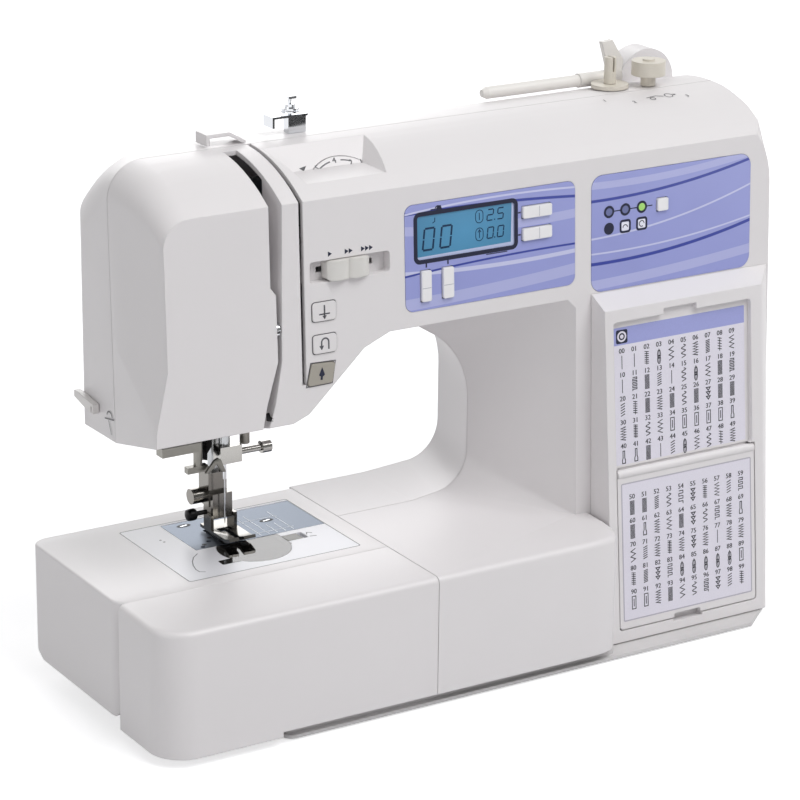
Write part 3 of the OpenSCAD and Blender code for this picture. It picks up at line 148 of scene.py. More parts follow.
bpy.ops.mesh.primitive_plane_add(size=1, location=(0.45, -0.85, 0.001))
card = bpy.context.active_object
card.name = "black_card"
card.scale = (0.9, 0.7, 1)
bpy.ops.object.transform_apply(location=False, rotation=False, scale=True)
card_felt, tree, out = new_material("black_felt_card")
place = add_node(tree, "TexCoord")
nap = add_node(tree, "TexNoise", {}, Vector=place.outputs["Object"], Scale=1/(2*mm))
tone = add_node(tree, "MapRange", {}, Value=nap.outputs["Fac"], To_Min=0.015, To_Max=0.03)
felt = add_node(tree, "BsdfDiffuse", {}, Color=tone.outputs[0])
tree.links.new(felt.outputs[0], out.inputs[0])
card.data.materials.append(card_felt)
card.visible_camera = False
card.visible_diffuse = False
card.visible_shadow = False


# ---- Casing mouldings --------------------------------------------------------
# Injection-moulded ABS in a warm white with a fine satin grain. The mouldings
# meet at narrow seams; their edges are eased so that they catch the light.

def moulded(name, colour, roughness, grain=0.35, depth=0.02, tone=0.03, edge=0.7):
    """Moulded plastic: a fine spark-eroded grain, a faint drift of tone, softened edges.

    grain is the grain's size in mm, drawn a little coarse so that it shows."""
    made, tree, out = new_material(name)
    place = add_node(tree, "TexCoord")
    fine = add_node(tree, "TexNoise", {}, Vector=place.outputs["Object"],
                    Scale=1/(grain*mm), Detail=2)
    broad = add_node(tree, "TexNoise", {}, Vector=place.outputs["Object"],
                     Scale=1/(60*mm), Detail=3)
    dark = [c*(1 - tone) for c in linear(colour)[:3]] + [1]
    tint = add_node(tree, "Mix", {"data_type": "RGBA"}, Factor=broad.outputs["Fac"],
                    i6=dark, i7=linear(colour))
    worn = add_node(tree, "MapRange", {}, Value=broad.outputs["Fac"],
                    To_Min=roughness - 0.04, To_Max=roughness + 0.04)
    round_edge = add_node(tree, "Bevel", {"samples": 4}, Radius=edge*mm)
    bump = add_node(tree, "Bump", {}, Height=fine.outputs["Fac"], Strength=0.35,
                    Distance=depth*mm, Normal=round_edge.outputs[0])
    skin = add_node(tree, "BsdfPrincipled", {}, Base_Color=tint.outputs[2],
                    Roughness=worn.outputs[0], IOR=1.53, Normal=bump.outputs[0])
    tree.links.new(skin.outputs[0], out.inputs[0])
    return made


def dress(surface, *names):
    """Gives CAD nodes a material."""
    for name in names:
        nodes[name].data.materials.clear()
        nodes[name].data.materials.append(surface)


# A CAD node's mesh is loose triangles. This welds them as it is drawn and smooths
# across every bend but the sharp ones, so that rounds look round and edges stay crisp.
weld_reach, sharp_bend = 0.002*mm, math.radians(24)
smoothing = bpy.data.node_groups.new("smooth_by_edge_angle", "GeometryNodeTree")
smoothing.interface.new_socket("Geometry", in_out="INPUT", socket_type="NodeSocketGeometry")
smoothing.interface.new_socket("Geometry", in_out="OUTPUT", socket_type="NodeSocketGeometry")
start = smoothing.nodes.new("NodeGroupInput")
weld = smoothing.nodes.new("GeometryNodeMergeByDistance")
weld.inputs["Distance"].default_value = weld_reach
bend = smoothing.nodes.new("GeometryNodeInputMeshEdgeAngle")
sharp = smoothing.nodes.new("FunctionNodeCompare")
sharp.operation = "LESS_THAN"
sharp.inputs[1].default_value = sharp_bend
flat = smoothing.nodes.new("GeometryNodeSetShadeSmooth")
edges = smoothing.nodes.new("GeometryNodeSetShadeSmooth")
edges.domain = "EDGE"
finish = smoothing.nodes.new("NodeGroupOutput")
for a, b in ((start.outputs[0], weld.inputs[0]), (weld.outputs[0], flat.inputs[0]),
             (flat.outputs[0], edges.inputs[0]), (bend.outputs[0], sharp.inputs[0]),
             (sharp.outputs[0], edges.inputs["Shade Smooth"]),
             (edges.outputs[0], finish.inputs[0])):
    smoothing.links.new(a, b)
for name in nodes:
    nodes[name].modifiers.new("smooth_bends", "NODES").node_group = smoothing


def ease(width, *names):
    """Rounds the sharp edges of CAD nodes by a width in mm."""
    for name in names:
        weld = nodes[name].modifiers.new("weld", "WELD")
        weld.merge_threshold = weld_reach
        bevel = nodes[name].modifiers.new("eased_edges", "BEVEL")
        bevel.width = width*mm
        bevel.segments = 2
        bevel.limit_method = "ANGLE"
        bevel.angle_limit = math.radians(32)
        bevel.use_clamp_overlap = True
        bevel.harden_normals = True


# Satin ABS, spark-eroded: a soft white with no sharp reflection in it.
abs_white = moulded("abs_warm_white", "e6e3e4", 0.4)
dress(abs_white, "front_shell", "rear_shell", "free_arm_cover", "thread_guide_plate", "chart_box",
      "chart_lid", "bed_attachment", "carry_handle", "handwheel", "tension_dial", "presser_lever")
# The tray's ABS is a shade greyer and duller than the casing's.
abs_tray = moulded("abs_pale_grey", "d3d1d1", 0.45)
dress(abs_tray, "base_tray")


# ---- Rubber feet and fixings ---------------------------------------------------
# Six discs of black nitrile rubber in the tray, and zinc-plated casing screws.

# Rubber is nearly black and matt, with no highlight.
nitrile = moulded("nitrile_rubber", "1b1b1c", 0.8, grain=0.5, depth=0.04, tone=0.2)
dress(nitrile, "rubber_feet", "drive_belts")


def metal(name, colour, roughness, streak=0, along=(1, 1, 1)):
    """Metal with its finish: polishing or brushing marks spaced in mm, drawn out along an axis."""
    made, tree, out = new_material(name)
    place = add_node(tree, "TexCoord")
    drawn = add_node(tree, "Mapping", {}, Vector=place.outputs["Object"], Scale=along)
    marks = add_node(tree, "TexNoise", {}, Vector=drawn.outputs[0],
                     Scale=1/((streak or 0.6)*mm), Detail=3)
    sheen = add_node(tree, "MapRange", {}, Value=marks.outputs["Fac"],
                     To_Min=roughness*0.7, To_Max=roughness*1.3)
    bump = add_node(tree, "Bump", {}, Height=marks.outputs["Fac"],
                    Strength=0.3 if streak else 0.05, Distance=0.01*mm)
    skin = add_node(tree, "BsdfPrincipled", {}, Base_Color=linear(colour), Metallic=1,
                    Roughness=sheen.outputs[0], Normal=bump.outputs[0])
    tree.links.new(skin.outputs[0], out.inputs[0])
    return made


# Zinc plate gives a pale, slightly blurred shine.
zinc_plate = metal("zinc_plated_steel", "c3c5c8", 0.28)
dress(zinc_plate, "casing_screws", "motor_pulley", "needle_link")
ease(0.15, "casing_screws")
# As-cast alloy is grey and dull with a coarse skin.
cast_alloy = metal("die_cast_alloy", "9a9c9f", 0.5, streak=0.8)
dress(cast_alloy, "chassis", "motor")
# Ground steel shines in a fine grain.
ground_steel = metal("ground_steel", "b9bbbd", 0.22, streak=0.25)
dress(ground_steel, "main_shaft", "lower_shaft", "rotary_hook", "feed_bar", "feed_dogs",
      "needle_bar", "presser_bar")


# ---- Printing on the casing ------------------------------------------------------
# Pad-printed and foil-printed marks: flat shapes of ink drawn in a plane of their
# own in mm, then laid a hair above the moulding that carries them.

def front_plane(depth, tilt):
    """Plane of a leaning front: local x along the machine, y up the face, z out of it."""
    lean = math.radians(tilt)
    return Matrix(((mm, 0, 0, 0),
                   (0, math.sin(lean)*mm, -math.cos(lean)*mm, depth*mm),
                   (0, math.cos(lean)*mm, math.sin(lean)*mm, 0),
                   (0, 0, 0, 1)))


def stroke(sheet, points, width, closed=False):
    """A ribbon of ink along points, mitred at its corners."""
    count = len(points)
    sides = []
    for i, (x, y) in enumerate(points):
        before = points[i - 1] if i or closed else None
        after = points[(i + 1) % count] if i < count - 1 or closed else None
        legs = []
        for a, b in ((before, (x, y)), ((x, y), after)):
            if a and b:
                legs.append(Vector((b[0] - a[0], b[1] - a[1])).normalized())
        normals = [Vector((-leg.y, leg.x)) for leg in legs]
        middle = sum(normals, Vector((0, 0))).normalized()
        reach = width/2/max(middle.dot(normals[0]), 0.45)
        sides.append([sheet.verts.new((x + s*middle.x*reach, y + s*middle.y*reach, 0))
                      for s in (1, -1)])
    for i in range(count if closed else count - 1):
        a, b = sides[i], sides[(i + 1) % count]
        sheet.faces.new((a[1], b[1], b[0], a[0]))


def fill(sheet, points):
    """A filled outline of ink, its points anticlockwise."""
    sheet.faces.new([sheet.verts.new((x, y, 0)) for x, y in points])


def rounded(x0, y0, x1, y1, r, steps=5):
    """Corner points of a rectangle with rounded corners, anticlockwise."""
    points = []
    for cx, cy, start in ((x1 - r, y1 - r, 0), (x0 + r, y1 - r, 90),
                          (x0 + r, y0 + r, 180), (x1 - r, y0 + r, 270)):
        for i in range(steps + 1):
            angle = math.radians(start + 90*i/steps)
            points.append((cx + r*math.cos(angle), cy + r*math.sin(angle)))
    return points


def arc(x, y, r, start, end, steps=24):
    """Points along an arc, in degrees anticlockwise from the right."""
    return [(x + r*math.cos(math.radians(start + (end - start)*i/steps)),
             y + r*math.sin(math.radians(start + (end - start)*i/steps)))
            for i in range(steps + 1)]


def figures(sheet, text, x, y, size):
    """Plain figures set in type, centred on a point."""
    bpy.ops.object.select_all(action="DESELECT")
    bpy.ops.object.text_add()
    typed = bpy.context.active_object
    typed.data.body = text
    typed.data.size = size
    typed.data.align_x = "CENTER"
    typed.data.align_y = "CENTER"
    typed.data.resolution_u = 2
    bpy.ops.object.convert(target="MESH")
    typed = bpy.context.active_object
    typed.data.transform(Matrix.Translation((x, y, 0)))
    sheet.from_mesh(typed.data)
    bpy.data.objects.remove(typed)


def lay(sheet, name, place, surface, body="housing", lift=0.04):
    """Turns a sheet of ink into a piece on its plane, lift mm above it."""
    for face in sheet.faces:
        face.normal_update()
        if face.normal.z < 0:
            face.normal_flip()
    mesh = bpy.data.meshes.new(name)
    sheet.to_mesh(mesh)
    sheet.free()
    mesh.transform(place @ Matrix.Translation((0, 0, lift)))
    mesh.materials.append(surface)
    piece = bpy.data.objects.new(name, mesh)
    scene.collection.objects.link(piece)
    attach(piece, body)
    return piece


def ink(name, colour, roughness=0.35):
    """Screen-printing ink: an even film with a slight mottle."""
    made, tree, out = new_material(name)
    place = add_node(tree, "TexCoord")
    mottle = add_node(tree, "TexNoise", {}, Vector=place.outputs["Object"], Scale=1/(0.8*mm))
    thin = [min(1, c*1.12 + 0.004) for c in linear(colour)[:3]] + [1]
    film = add_node(tree, "Mix", {"data_type": "RGBA"}, Factor=mottle.outputs["Fac"],
                    i6=linear(colour), i7=thin)
    skin = add_node(tree, "BsdfPrincipled", {}, Base_Color=film.outputs[2], Roughness=roughness)
    tree.links.new(skin.outputs[0], out.inputs[0])
    return made


front_y, front_tilt = -51.9, 2.75
face = front_plane(front_y, front_tilt)
# Inks are even and low in gloss: navy on the panels, a softer grey on the casing.
ink_navy = ink("screen_ink_navy", "171b36")
ink_grey = ink("pad_ink_grey", "55555a")


# ---- Display panel --------------------------------------------------------------
# A clear sheet printed from behind in periwinkle with sweeping stripes, stuck
# into a recess of the front; the display shows through its window.

def printed_panel(name, base, stripes):
    """Gloss sheet printed from behind: stripes as (x0, z0, rise, sag, half width, colour) in mm."""
    made, tree, out = new_material(name)
    place = add_node(tree, "TexCoord")
    axes = add_node(tree, "SeparateXYZ", {}, Vector=place.outputs["Object"])
    drift = add_node(tree, "TexNoise", {}, Vector=place.outputs["Object"], Scale=1/(40*mm))
    light = [min(1, c*1.10) for c in linear(base)[:3]] + [1]
    colour = add_node(tree, "Mix", {"data_type": "RGBA"}, Factor=drift.outputs["Fac"],
                      i6=linear(base), i7=light).outputs[2]
    for x0, z0, rise, sag, half, paint in stripes:
        run = add_node(tree, "Math", {"operation": "SUBTRACT"}, i0=axes.outputs[0], i1=x0*mm)
        bow = add_node(tree, "Math", {"operation": "MULTIPLY_ADD"}, i0=run.outputs[0],
                       i1=sag/mm, i2=rise)
        line = add_node(tree, "Math", {"operation": "MULTIPLY_ADD"}, i0=run.outputs[0],
                        i1=bow.outputs[0], i2=z0*mm)
        off = add_node(tree, "Math", {"operation": "SUBTRACT"}, i0=axes.outputs[2],
                       i1=line.outputs[0])
        far = add_node(tree, "Math", {"operation": "ABSOLUTE"}, i0=off.outputs[0])
        edge = add_node(tree, "MapRange", {}, Value=far.outputs[0], From_Min=(half - 0.12)*mm,
                        From_Max=(half + 0.12)*mm, To_Min=1.0, To_Max=0.0)
        colour = add_node(tree, "Mix", {"data_type": "RGBA"}, Factor=edge.outputs[0],
                          i6=colour, i7=linear(paint)).outputs[2]
    skin = add_node(tree, "BsdfPrincipled", {}, Base_Color=colour, Roughness=0.16, IOR=1.5)
    tree.links.new(skin.outputs[0], out.inputs[0])
    return made


pale, deep, soft = "cdd0ef", "4650a4", "b6bae6"
dress(printed_panel("periwinkle_panel_wide", "9ba1d8", (
    (12, 209.5, 0.045, 0.0003, 3.0, soft), (12, 222, -0.02, 0.0006, 1.1, pale),
    (12, 226, 0.03, -0.0004, 0.55, deep), (12, 243, -0.04, 0.0008, 2.4, soft),
    (12, 255.6, -0.035, -0.0005, 0.75, deep), (12, 258.6, 0.01, -0.0007, 0.5, pale))),
    "lcd_panel")
dress(printed_panel("periwinkle_panel_tall", "9ba1d8", (
    (129, 203.4, 0.06, 0.0004, 2.6, soft), (129, 215, 0.1, 0.0012, 0.9, deep),
    (129, 219.6, 0.07, 0.0010, 0.45, pale), (129, 231.5, 0.16, 0.0014, 0.5, pale),
    (129, 249.8, 0.1, 0.0011, 0.8, deep), (129, 256.2, 0.05, 0.0009, 1.9, soft))),
    "select_panel")
ease(0.3, "lcd_panel", "select_panel")

print_lift = 0.25
left, low, right, high = window = (-34, 231, 26.8, 254.7)
rim, rim_width = 0.8, 2.3
sheet = bmesh.new()
stroke(sheet, rounded(left - rim, low - rim, right + rim, high + rim, 2.6), rim_width, closed=True)
for x in (-28.4, -15.1):
    fill(sheet, [(x - 0.45, 226.9), (x + 0.45, 226.9), (x + 0.45, 229.3), (x - 0.45, 229.3)])
for z in (248.3, 236.3):
    fill(sheet, [(28.9, z - 0.4), (30.5, z - 0.4), (30.5, z + 0.4), (28.9, z + 0.4)])
stroke(sheet, [(8.6, 228.6), (22, 228.6)], 0.5)
stroke(sheet, arc(-21, 257.2, 1.6, 0, 180, 8) + [(-25.4, 257.2)], 0.55)
fill(sheet, [(-22.4, 256.7), (-18.4, 256.7), (-19.2, 258.9), (-21.2, 258.9)])
lay(sheet, "display_frame_print", face, ink_navy, lift=print_lift)


# ---- Display ----------------------------------------------------------------------
# A backlit liquid-crystal cell behind the window: teal field, dark segments and a
# pale lip where the moulding's edge shows along the bottom and the right.

def glass_cell(name, colour, middle, reach):
    """Polished acrylic over a lit cell, brighter around its middle; both given as (x, z) in mm."""
    made, tree, out = new_material(name)
    place = add_node(tree, "TexCoord")
    moved = add_node(tree, "Mapping", {}, Vector=place.outputs["Object"],
                     Location=(-middle[0]/reach[0], 0, -middle[1]/reach[1]),
                     Scale=(1/(reach[0]*mm), 0, 1/(reach[1]*mm)))
    spread = add_node(tree, "TexGradient", {"gradient_type": "SPHERICAL"}, Vector=moved.outputs[0])
    bright = [min(1, c*1.35) for c in linear(colour)[:3]] + [1]
    tint = add_node(tree, "Mix", {"data_type": "RGBA"}, Factor=spread.outputs["Fac"],
                    i6=linear(colour), i7=bright)
    skin = add_node(tree, "BsdfPrincipled", {}, Base_Color=tint.outputs[2], Roughness=0.12,
                    Emission_Color=tint.outputs[2], Emission_Strength=0.12)
    tree.links.new(skin.outputs[0], out.inputs[0])
    return made


dress(glass_cell("lit_display_cell", "4a80a2", (-3.6, 243), (45, 30)), "lcd_display")

SEGMENTS = {"0": "abcdef", "1": "bc", "2": "abged", "5": "afgcd"}


def digit(sheet, value, x, y, wide, tall, thick):
    """A leaning seven-segment figure whose lower left corner is at a point."""
    gap, lean = thick*0.25, 0.12
    spots = {"a": (0, tall, wide, tall), "b": (wide, tall, wide, tall/2),
             "c": (wide, tall/2, wide, 0), "d": (0, 0, wide, 0),
             "e": (0, 0, 0, tall/2), "f": (0, tall/2, 0, tall), "g": (0, tall/2, wide, tall/2)}
    for key in SEGMENTS[value]:
        x0, y0, x1, y1 = spots[key]
        along = Vector((x1 - x0, y1 - y0)).normalized()*gap
        a, b = Vector((x0, y0)) + along, Vector((x1, y1)) - along
        stroke(sheet, [(x + p.x + lean*p.y, y + p.y) for p in (a, b)], thick)


sheet = bmesh.new()
for x in (-30.2, -19.6):
    digit(sheet, "0", x, 236, 6.2, 11.4, 1.1)
for text, x, y in (("2", 9.6, 246.6), ("5", 16, 246.6), ("0", 9.6, 237), ("0", 16, 237)):
    digit(sheet, text, x, y, 3.6, 5.8, 0.7)
for y in (246.4, 236.8):
    fill(sheet, [(14.1, y), (14.8, y), (14.8, y + 0.7), (14.1, y + 0.7)])
    stroke(sheet, rounded(2.6, y - 0.3, 7.2, y + 6.5, 2.2), 0.45, closed=True)
    stroke(sheet, [(4.9, y + 1.2), (4.9, y + 5)], 0.5)
stroke(sheet, [(3.9, 241), (4.9, 242.4), (5.9, 241)], 0.45)
stroke(sheet, [(-22.6, 252.6), (-22.6, 250.6), (-24, 249.8)], 0.5)
ink_segment = ink("liquid_crystal_segments", "12304f", 0.2)
lay(sheet, "display_segments", face, ink_segment, lift=-0.27)

sheet = bmesh.new()
left, low, right, high = window
lip = 2.3
fill(sheet, [(left + 0.4, low), (right, low), (right, low + lip), (left + 0.4, low + 1.7)])
fill(sheet, [(right - lip, low + lip), (right, low + lip), (right, high), (right - 1.6, high)])
lay(sheet, "display_lip", face, ink("display_lip_white", "b9c3e2", 0.25), lift=-0.26)


# ---- Keys and buttons ---------------------------------------------------------------
# Gloss white keys of the panels and the three sewing buttons, with printed
# symbols: needle up and down, a turn for reverse, an arrow for start.

# Polished keys show a clear highlight; the start button is a satin stone grey.
gloss_white = moulded("gloss_white_keys", "f4f3f5", 0.22, grain=1.2, depth=0.005, tone=0.02)
dress(gloss_white, "tens_key", "ones_key", "length_key", "width_key", "select_key")
dress(abs_white, "needle_button", "reverse_button")
button_stone = moulded("stone_grey_button", "a8a399", 0.4)
dress(button_stone, "start_button")
ease(0.55, "tens_key", "ones_key", "length_key", "width_key", "select_key", "needle_button",
     "reverse_button", "start_button")

for name, box in (("needle_button", (-97.2, 208, -83.4, 217.8)),
                  ("reverse_button", (-97.2, 191, -83.4, 200.6))):
    sheet = bmesh.new()
    stroke(sheet, rounded(box[0] - 0.25, box[1] - 0.25, box[2] + 0.25, box[3] + 0.25, 1.8), 0.45,
           closed=True)
    lay(sheet, name + "_line", face, ink_grey, lift=0.03)
sheet = bmesh.new()
stroke(sheet, [(-98.7, 186.5), (-84, 185.9), (-86.1, 174.2), (-101.6, 174)], 0.5, closed=True)
lay(sheet, "start_button_line", face, ink_grey, lift=0.03)
sheet = bmesh.new()
x, z = -90.3, 212.9
stroke(sheet, [(x, z - 3.2), (x, z + 3.4)], 0.9)
stroke(sheet, [(x - 3.2, z - 1.3), (x + 3.2, z - 1.3)], 0.75)
fill(sheet, [(x - 1.3, z - 2.1), (x, z - 4.2), (x + 1.3, z - 2.1)])
cap_lift = 0.84
lay(sheet, "needle_button_mark", face, ink_grey, "needle_button", lift=cap_lift)
sheet = bmesh.new()
x, z = -90.3, 195.8
stroke(sheet, [(x + 2.1, z - 3)] + arc(x, z + 0.9, 2.1, 0, 180, 10) + [(x - 2.1, z - 1)], 0.85)
fill(sheet, [(x - 3.5, z - 0.8), (x - 2.1, z - 3.2), (x - 0.7, z - 0.8)])
lay(sheet, "reverse_button_mark", face, ink_grey, "reverse_button", lift=cap_lift)
sheet = bmesh.new()
x, z = -92.6, 180.2
stroke(sheet, [(x - 0.3, z - 3.2), (x - 0.2, z - 1.6)], 1.3)
fill(sheet, [(x - 1.8, z - 0.6), (x, z - 2), (x + 1.8, z - 0.6), (x + 0.2, z + 3.6)])
lay(sheet, "start_button_mark", face, ink_navy, "start_button", lift=cap_lift)
key_lift = 1.63
ink_line = ink("key_line_grey", "a9a9b4")
for name, ends in (("tens_key", ((-31.6, 216.2), (-26.3, 216.2))),
                   ("ones_key", ((-18.4, 216.2), (-12.5, 216.2))),
                   ("length_key", ((41.6, 245.2), (41.6, 250.8))),
                   ("width_key", ((41.6, 233.2), (41.6, 239)))):
    sheet = bmesh.new()
    stroke(sheet, ends, 0.3)
    lay(sheet, name + "_line", face, ink_line, name, lift=key_lift)


# ---- Speed slider ---------------------------------------------------------------------
# A slide of pale grey acetal with two humps, which runs in a shallow trough of
# the casing. One, two and three arrowheads are printed above it.

slider_grey = moulded("pale_grey_slide", "dcdad6", 0.36)
dress(slider_grey, "speed_slider")
ease(0.4, "speed_slider")
arrow_low, arrow_half, arrow_long, arrow_pitch = 240.9, 1.4, 2.3, 2.4
sheet = bmesh.new()
for x, count in ((-85.9, 1), (-74.8, 2), (-63.9, 3)):
    for i in range(count):
        left = x + (i - count/2)*arrow_pitch
        fill(sheet, [(left, arrow_low), (left + arrow_long, arrow_low + arrow_half),
                     (left, arrow_low + 2*arrow_half)])
lay(sheet, "speed_marks", face, ink_navy)


# ---- Right panel marks --------------------------------------------------------------------
# Three indicator rings joined by a line to the selection key, the third one lit,
# with the symbols that each stands for below them.

first, second, third = 87.4, 98.1, 109
ring_z, symbol_z = 240.9, 231.7
sheet = bmesh.new()
for x in (first, second, third):
    stroke(sheet, arc(x, ring_z, 2.7, 0, 345, 23), 1.4, closed=True)
for x0, x1 in ((90.6, 94.9), (101.3, 105.8), (112.2, 116)):
    stroke(sheet, [(x0, ring_z), (x1, ring_z)], 0.6)
fill(sheet, arc(first, symbol_z, 3.3, 0, 345, 23))
for x in (second, third):
    stroke(sheet, rounded(x - 3.1, symbol_z - 3.1, x + 3.1, symbol_z + 3.1, 1.2, 3), 1.2,
           closed=True)
stroke(sheet, arc(second, 231, 1.5, 0, 180, 8), 0.5)
stroke(sheet, arc(third, symbol_z, 1.6, 0, 300, 12), 0.5)
lay(sheet, "indicator_print", face, ink_navy, lift=print_lift)
sheet = bmesh.new()
stroke(sheet, [(first, 233.4), (first - 1.2, 230.4), (first + 1.2, 230.4)], 0.5, closed=True)
for x in (second, third):
    fill(sheet, rounded(x - 2.4, symbol_z - 2.4, x + 2.4, symbol_z + 2.4, 0.8, 3))
lay(sheet, "indicator_symbols", face, ink("screen_ink_white", "e6e7f2"), lift=0.24)
for x, name, colour in ((first, "one", "6d74a0"), (second, "two", "6d74a0"),
                        (third, "three", "a9dc78")):
    sheet = bmesh.new()
    fill(sheet, arc(x, ring_z, 2.1, 0, 345, 23))
    lay(sheet, "indicator_" + name, face, ink("indicator_lens_" + name, colour, 0.15),
        lift=0.3)


# ---- Stitch charts ---------------------------------------------------------------------------
# Two printed cards, one on the box and one on the folding lid: every stitch has
# its number and a small drawing of the pattern that it sews.

def stitch(kind, turn):
    """A drawing in a cell 1 wide and 1 high, as (points, closed) lines, and its line width."""
    steps = 5 + turn % 4
    if kind == 0:
        return [([(0, 1), (0, 0)], False)], 0.3
    if kind == 1:
        return [([(0.5*(-1)**i, 1 - i/steps) for i in range(steps + 1)], False)], 0.34
    if kind == 2:
        wave = [(0.45*math.sin(i*0.7), 1 - i/24) for i in range(25)]
        return [(wave, False)], 0.34
    if kind == 3:
        bars = [([(-0.45, 1 - i/steps), (0.45, 1 - (i + 0.5)/steps)], False) for i in range(steps)]
        return bars + [([(0, 1), (0, 0)], False)], 0.3
    if kind == 4:
        return [([(-0.4, 0.02), (0.4, 0.02), (0.4, 0.98), (-0.4, 0.98)], True),
                ([(0, 0.2), (0, 0.8)], False)], 0.34
    if kind == 5:
        return [([(-0.5, 1 - i/12), (0.5, 1 - i/12)], False) for i in range(13)], 0.3
    if kind == 6:
        step = [(0.45*(1 if i % 4 in (1, 2) else -1), 1 - (i//2)/steps) for i in range(2*steps + 1)]
        return [(step, False)], 0.34
    if kind == 7:
        return [([(-0.42, 1 - (i + 0.15)/3), (0, 1 - (i + 0.85)/3), (0.42, 1 - (i + 0.15)/3)], True)
                for i in range(3)], 0.4
    if kind == 8:
        return [([(0.45, 1 - i/steps), (-0.45, 1 - (i + 0.7)/steps)], False)
                for i in range(steps)], 0.36
    if kind == 9:
        return [([(x, y + 0.12 + 0.38*k) for x, y in arc(0, 0.1, 0.33, 0, 340, 8)], True)
                for k in range(2)] + [([(0, 1), (0, 0)], False)], 0.34
    if kind == 10:
        return [([(0.5*(-1)**i, 1 - i/10) for i in range(11)], False)], 0.44
    drop = [(-0.32, 0.05), (0.32, 0.05), (0.32, 0.3), (0.18, 0.45), (0.18, 0.97),
            (-0.18, 0.97), (-0.18, 0.45), (-0.32, 0.3)]
    return [(drop, True)], 0.36


ORDER = [0, 0, 3, 9, 1, 2, 10, 8, 3, 1, 0, 6, 5, 8, 0, 2, 9, 1, 5, 6, 8, 3, 5, 10, 5, 2, 5, 7, 5, 5,
         10, 3, 2, 1, 4, 4, 4, 4, 4, 11, 11, 11, 5, 0, 8, 9, 1, 2, 3, 10]


def chart(sheet, first, left, top, pitch_x, pitch_y, rows):
    """Numbers and stitch drawings in ten columns, numbered along each row.

    A figure is set twice, a little apart, and the lines are widened: both print bold."""
    bold, wide, tall, drop, widen = 0.09, 3.1, 7.5, 10, 1.5
    for row in range(rows):
        for column in range(10):
            count = row*10 + column
            x, y = left + column*pitch_x, top - row*pitch_y
            for nudge in (-bold, bold):
                figures(sheet, "%02d" % (first + count), x + nudge, y, 3.9)
            lines, width = stitch((ORDER[count] + first//50*5) % 12, count)
            for points, closed in lines:
                stroke(sheet, [(x + wide*px, y - drop + tall*py) for px, py in points],
                       width*widen, closed)


chart_front = front_plane(-73, 5.26)
# Coated card: a cool white with a faint sheen.
card_white = ink("coated_card_white", "dedbe6", 0.4)
card_header = ink("card_header_periwinkle", "9da2d6", 0.3)
ink_black = ink("chart_ink_black", "26262e")

# The upper card lies this far behind the box's front, with its print a little above it.
card_depth, film = -2.95, 0.04
card_left, card_right, header_z = 83.2, 171.6, 170.4
sheet = bmesh.new()
fill(sheet, rounded(card_left, 103.4, card_right, header_z, 0.3, 2))
lay(sheet, "upper_card", chart_front, card_white, lift=card_depth)
sheet = bmesh.new()
fill(sheet, rounded(card_left, header_z, card_right, 180.2, 0.3, 2))
lay(sheet, "upper_card_header", chart_front, card_header, lift=card_depth)
sheet = bmesh.new()
chart(sheet, 0, 88.6, 167, 8.25, 13.3, 5)
lay(sheet, "upper_card_print", chart_front, ink_black, lift=card_depth + film)
mark_x, mark_z = 88.8, 175.1
sheet = bmesh.new()
fill(sheet, rounded(mark_x - 3.8, mark_z - 3.8, mark_x + 3.8, mark_z + 3.8, 1, 3))
lay(sheet, "upper_card_symbol", chart_front, ink_navy, lift=card_depth + film)
sheet = bmesh.new()
stroke(sheet, arc(mark_x, mark_z, 2.5, 0, 345, 23), 1, closed=True)
fill(sheet, arc(mark_x, mark_z, 1.2, 0, 330, 11))
lay(sheet, "upper_card_ring", chart_front, card_white, lift=card_depth + 2*film)

lid_edge = rounded(84.6, 15.2, 172.6, 93.4, 0.6, 2)
sheet = bmesh.new()
fill(sheet, lid_edge)
lay(sheet, "lid_card", chart_front, card_white, "chart_lid", lift=-0.06)
sheet = bmesh.new()
stroke(sheet, lid_edge, 0.7, closed=True)
lay(sheet, "lid_card_edge", chart_front, ink("card_edge_shadow", "b4b0bc", 0.5),
    "chart_lid", lift=-0.03)
sheet = bmesh.new()
chart(sheet, 50, 91.4, 85.4, 8.25, 13.6, 5)
lay(sheet, "lid_card_print", chart_front, ink_black, "chart_lid", lift=-0.02)


# ---- Tension dial scale ----------------------------------------------------------------
# The dial is a white ABS disc on the adjusting spindle. Its rim is pad-printed in
# grey with numbers and arcs between them, and the casing carries the index.

lean = math.radians(47.2)
slope = Matrix(((mm, 0, 0, -60*mm),
                (0, math.cos(lean)*mm, -math.sin(lean)*mm, -5.3*mm),
                (0, math.sin(lean)*mm, math.cos(lean)*mm, 277*mm),
                (0, 0, 0, 1)))
sheet = bmesh.new()
for text, x, y in (("5", -13, 0.2), ("4", -1.6, 3.3), ("2", 7.6, 0.9), ("1", 13.6, 0.2)):
    for nudge in (-0.12, 0.12):
        figures(sheet, text, x + nudge, y, 4.6)
for start, end in ((133, 102), (84, 68)):
    stroke(sheet, arc(0, -17.4, 20.7, start, end, 8), 0.8)
lay(sheet, "dial_scale", slope, ink_grey, "tension_dial")
sheet = bmesh.new()
fill(sheet, [(-23.2, 1.6), (-21.1, -0.4), (-18.6, 2.6)])
lay(sheet, "dial_index", slope, ink_black)


# ---- Winding diagram ------------------------------------------------------------------------
# The path of the thread to the bobbin, pad-printed in grey on the crown before
# the winder, with the numbers of its three steps.

def crown_plane(y):
    """Plane that touches the crown at a depth: local x along the machine, y to the rear."""
    crown_r, ridge_y, centre_z = 100, 19, 189.5
    lean = math.asin((y - ridge_y)/crown_r)
    height = centre_z + crown_r*math.cos(lean)
    return Matrix(((mm, 0, 0, 0),
                   (0, math.cos(lean)*mm, math.sin(lean)*mm, y*mm),
                   (0, -math.sin(lean)*mm, math.cos(lean)*mm, height*mm),
                   (0, 0, 0, 1)))


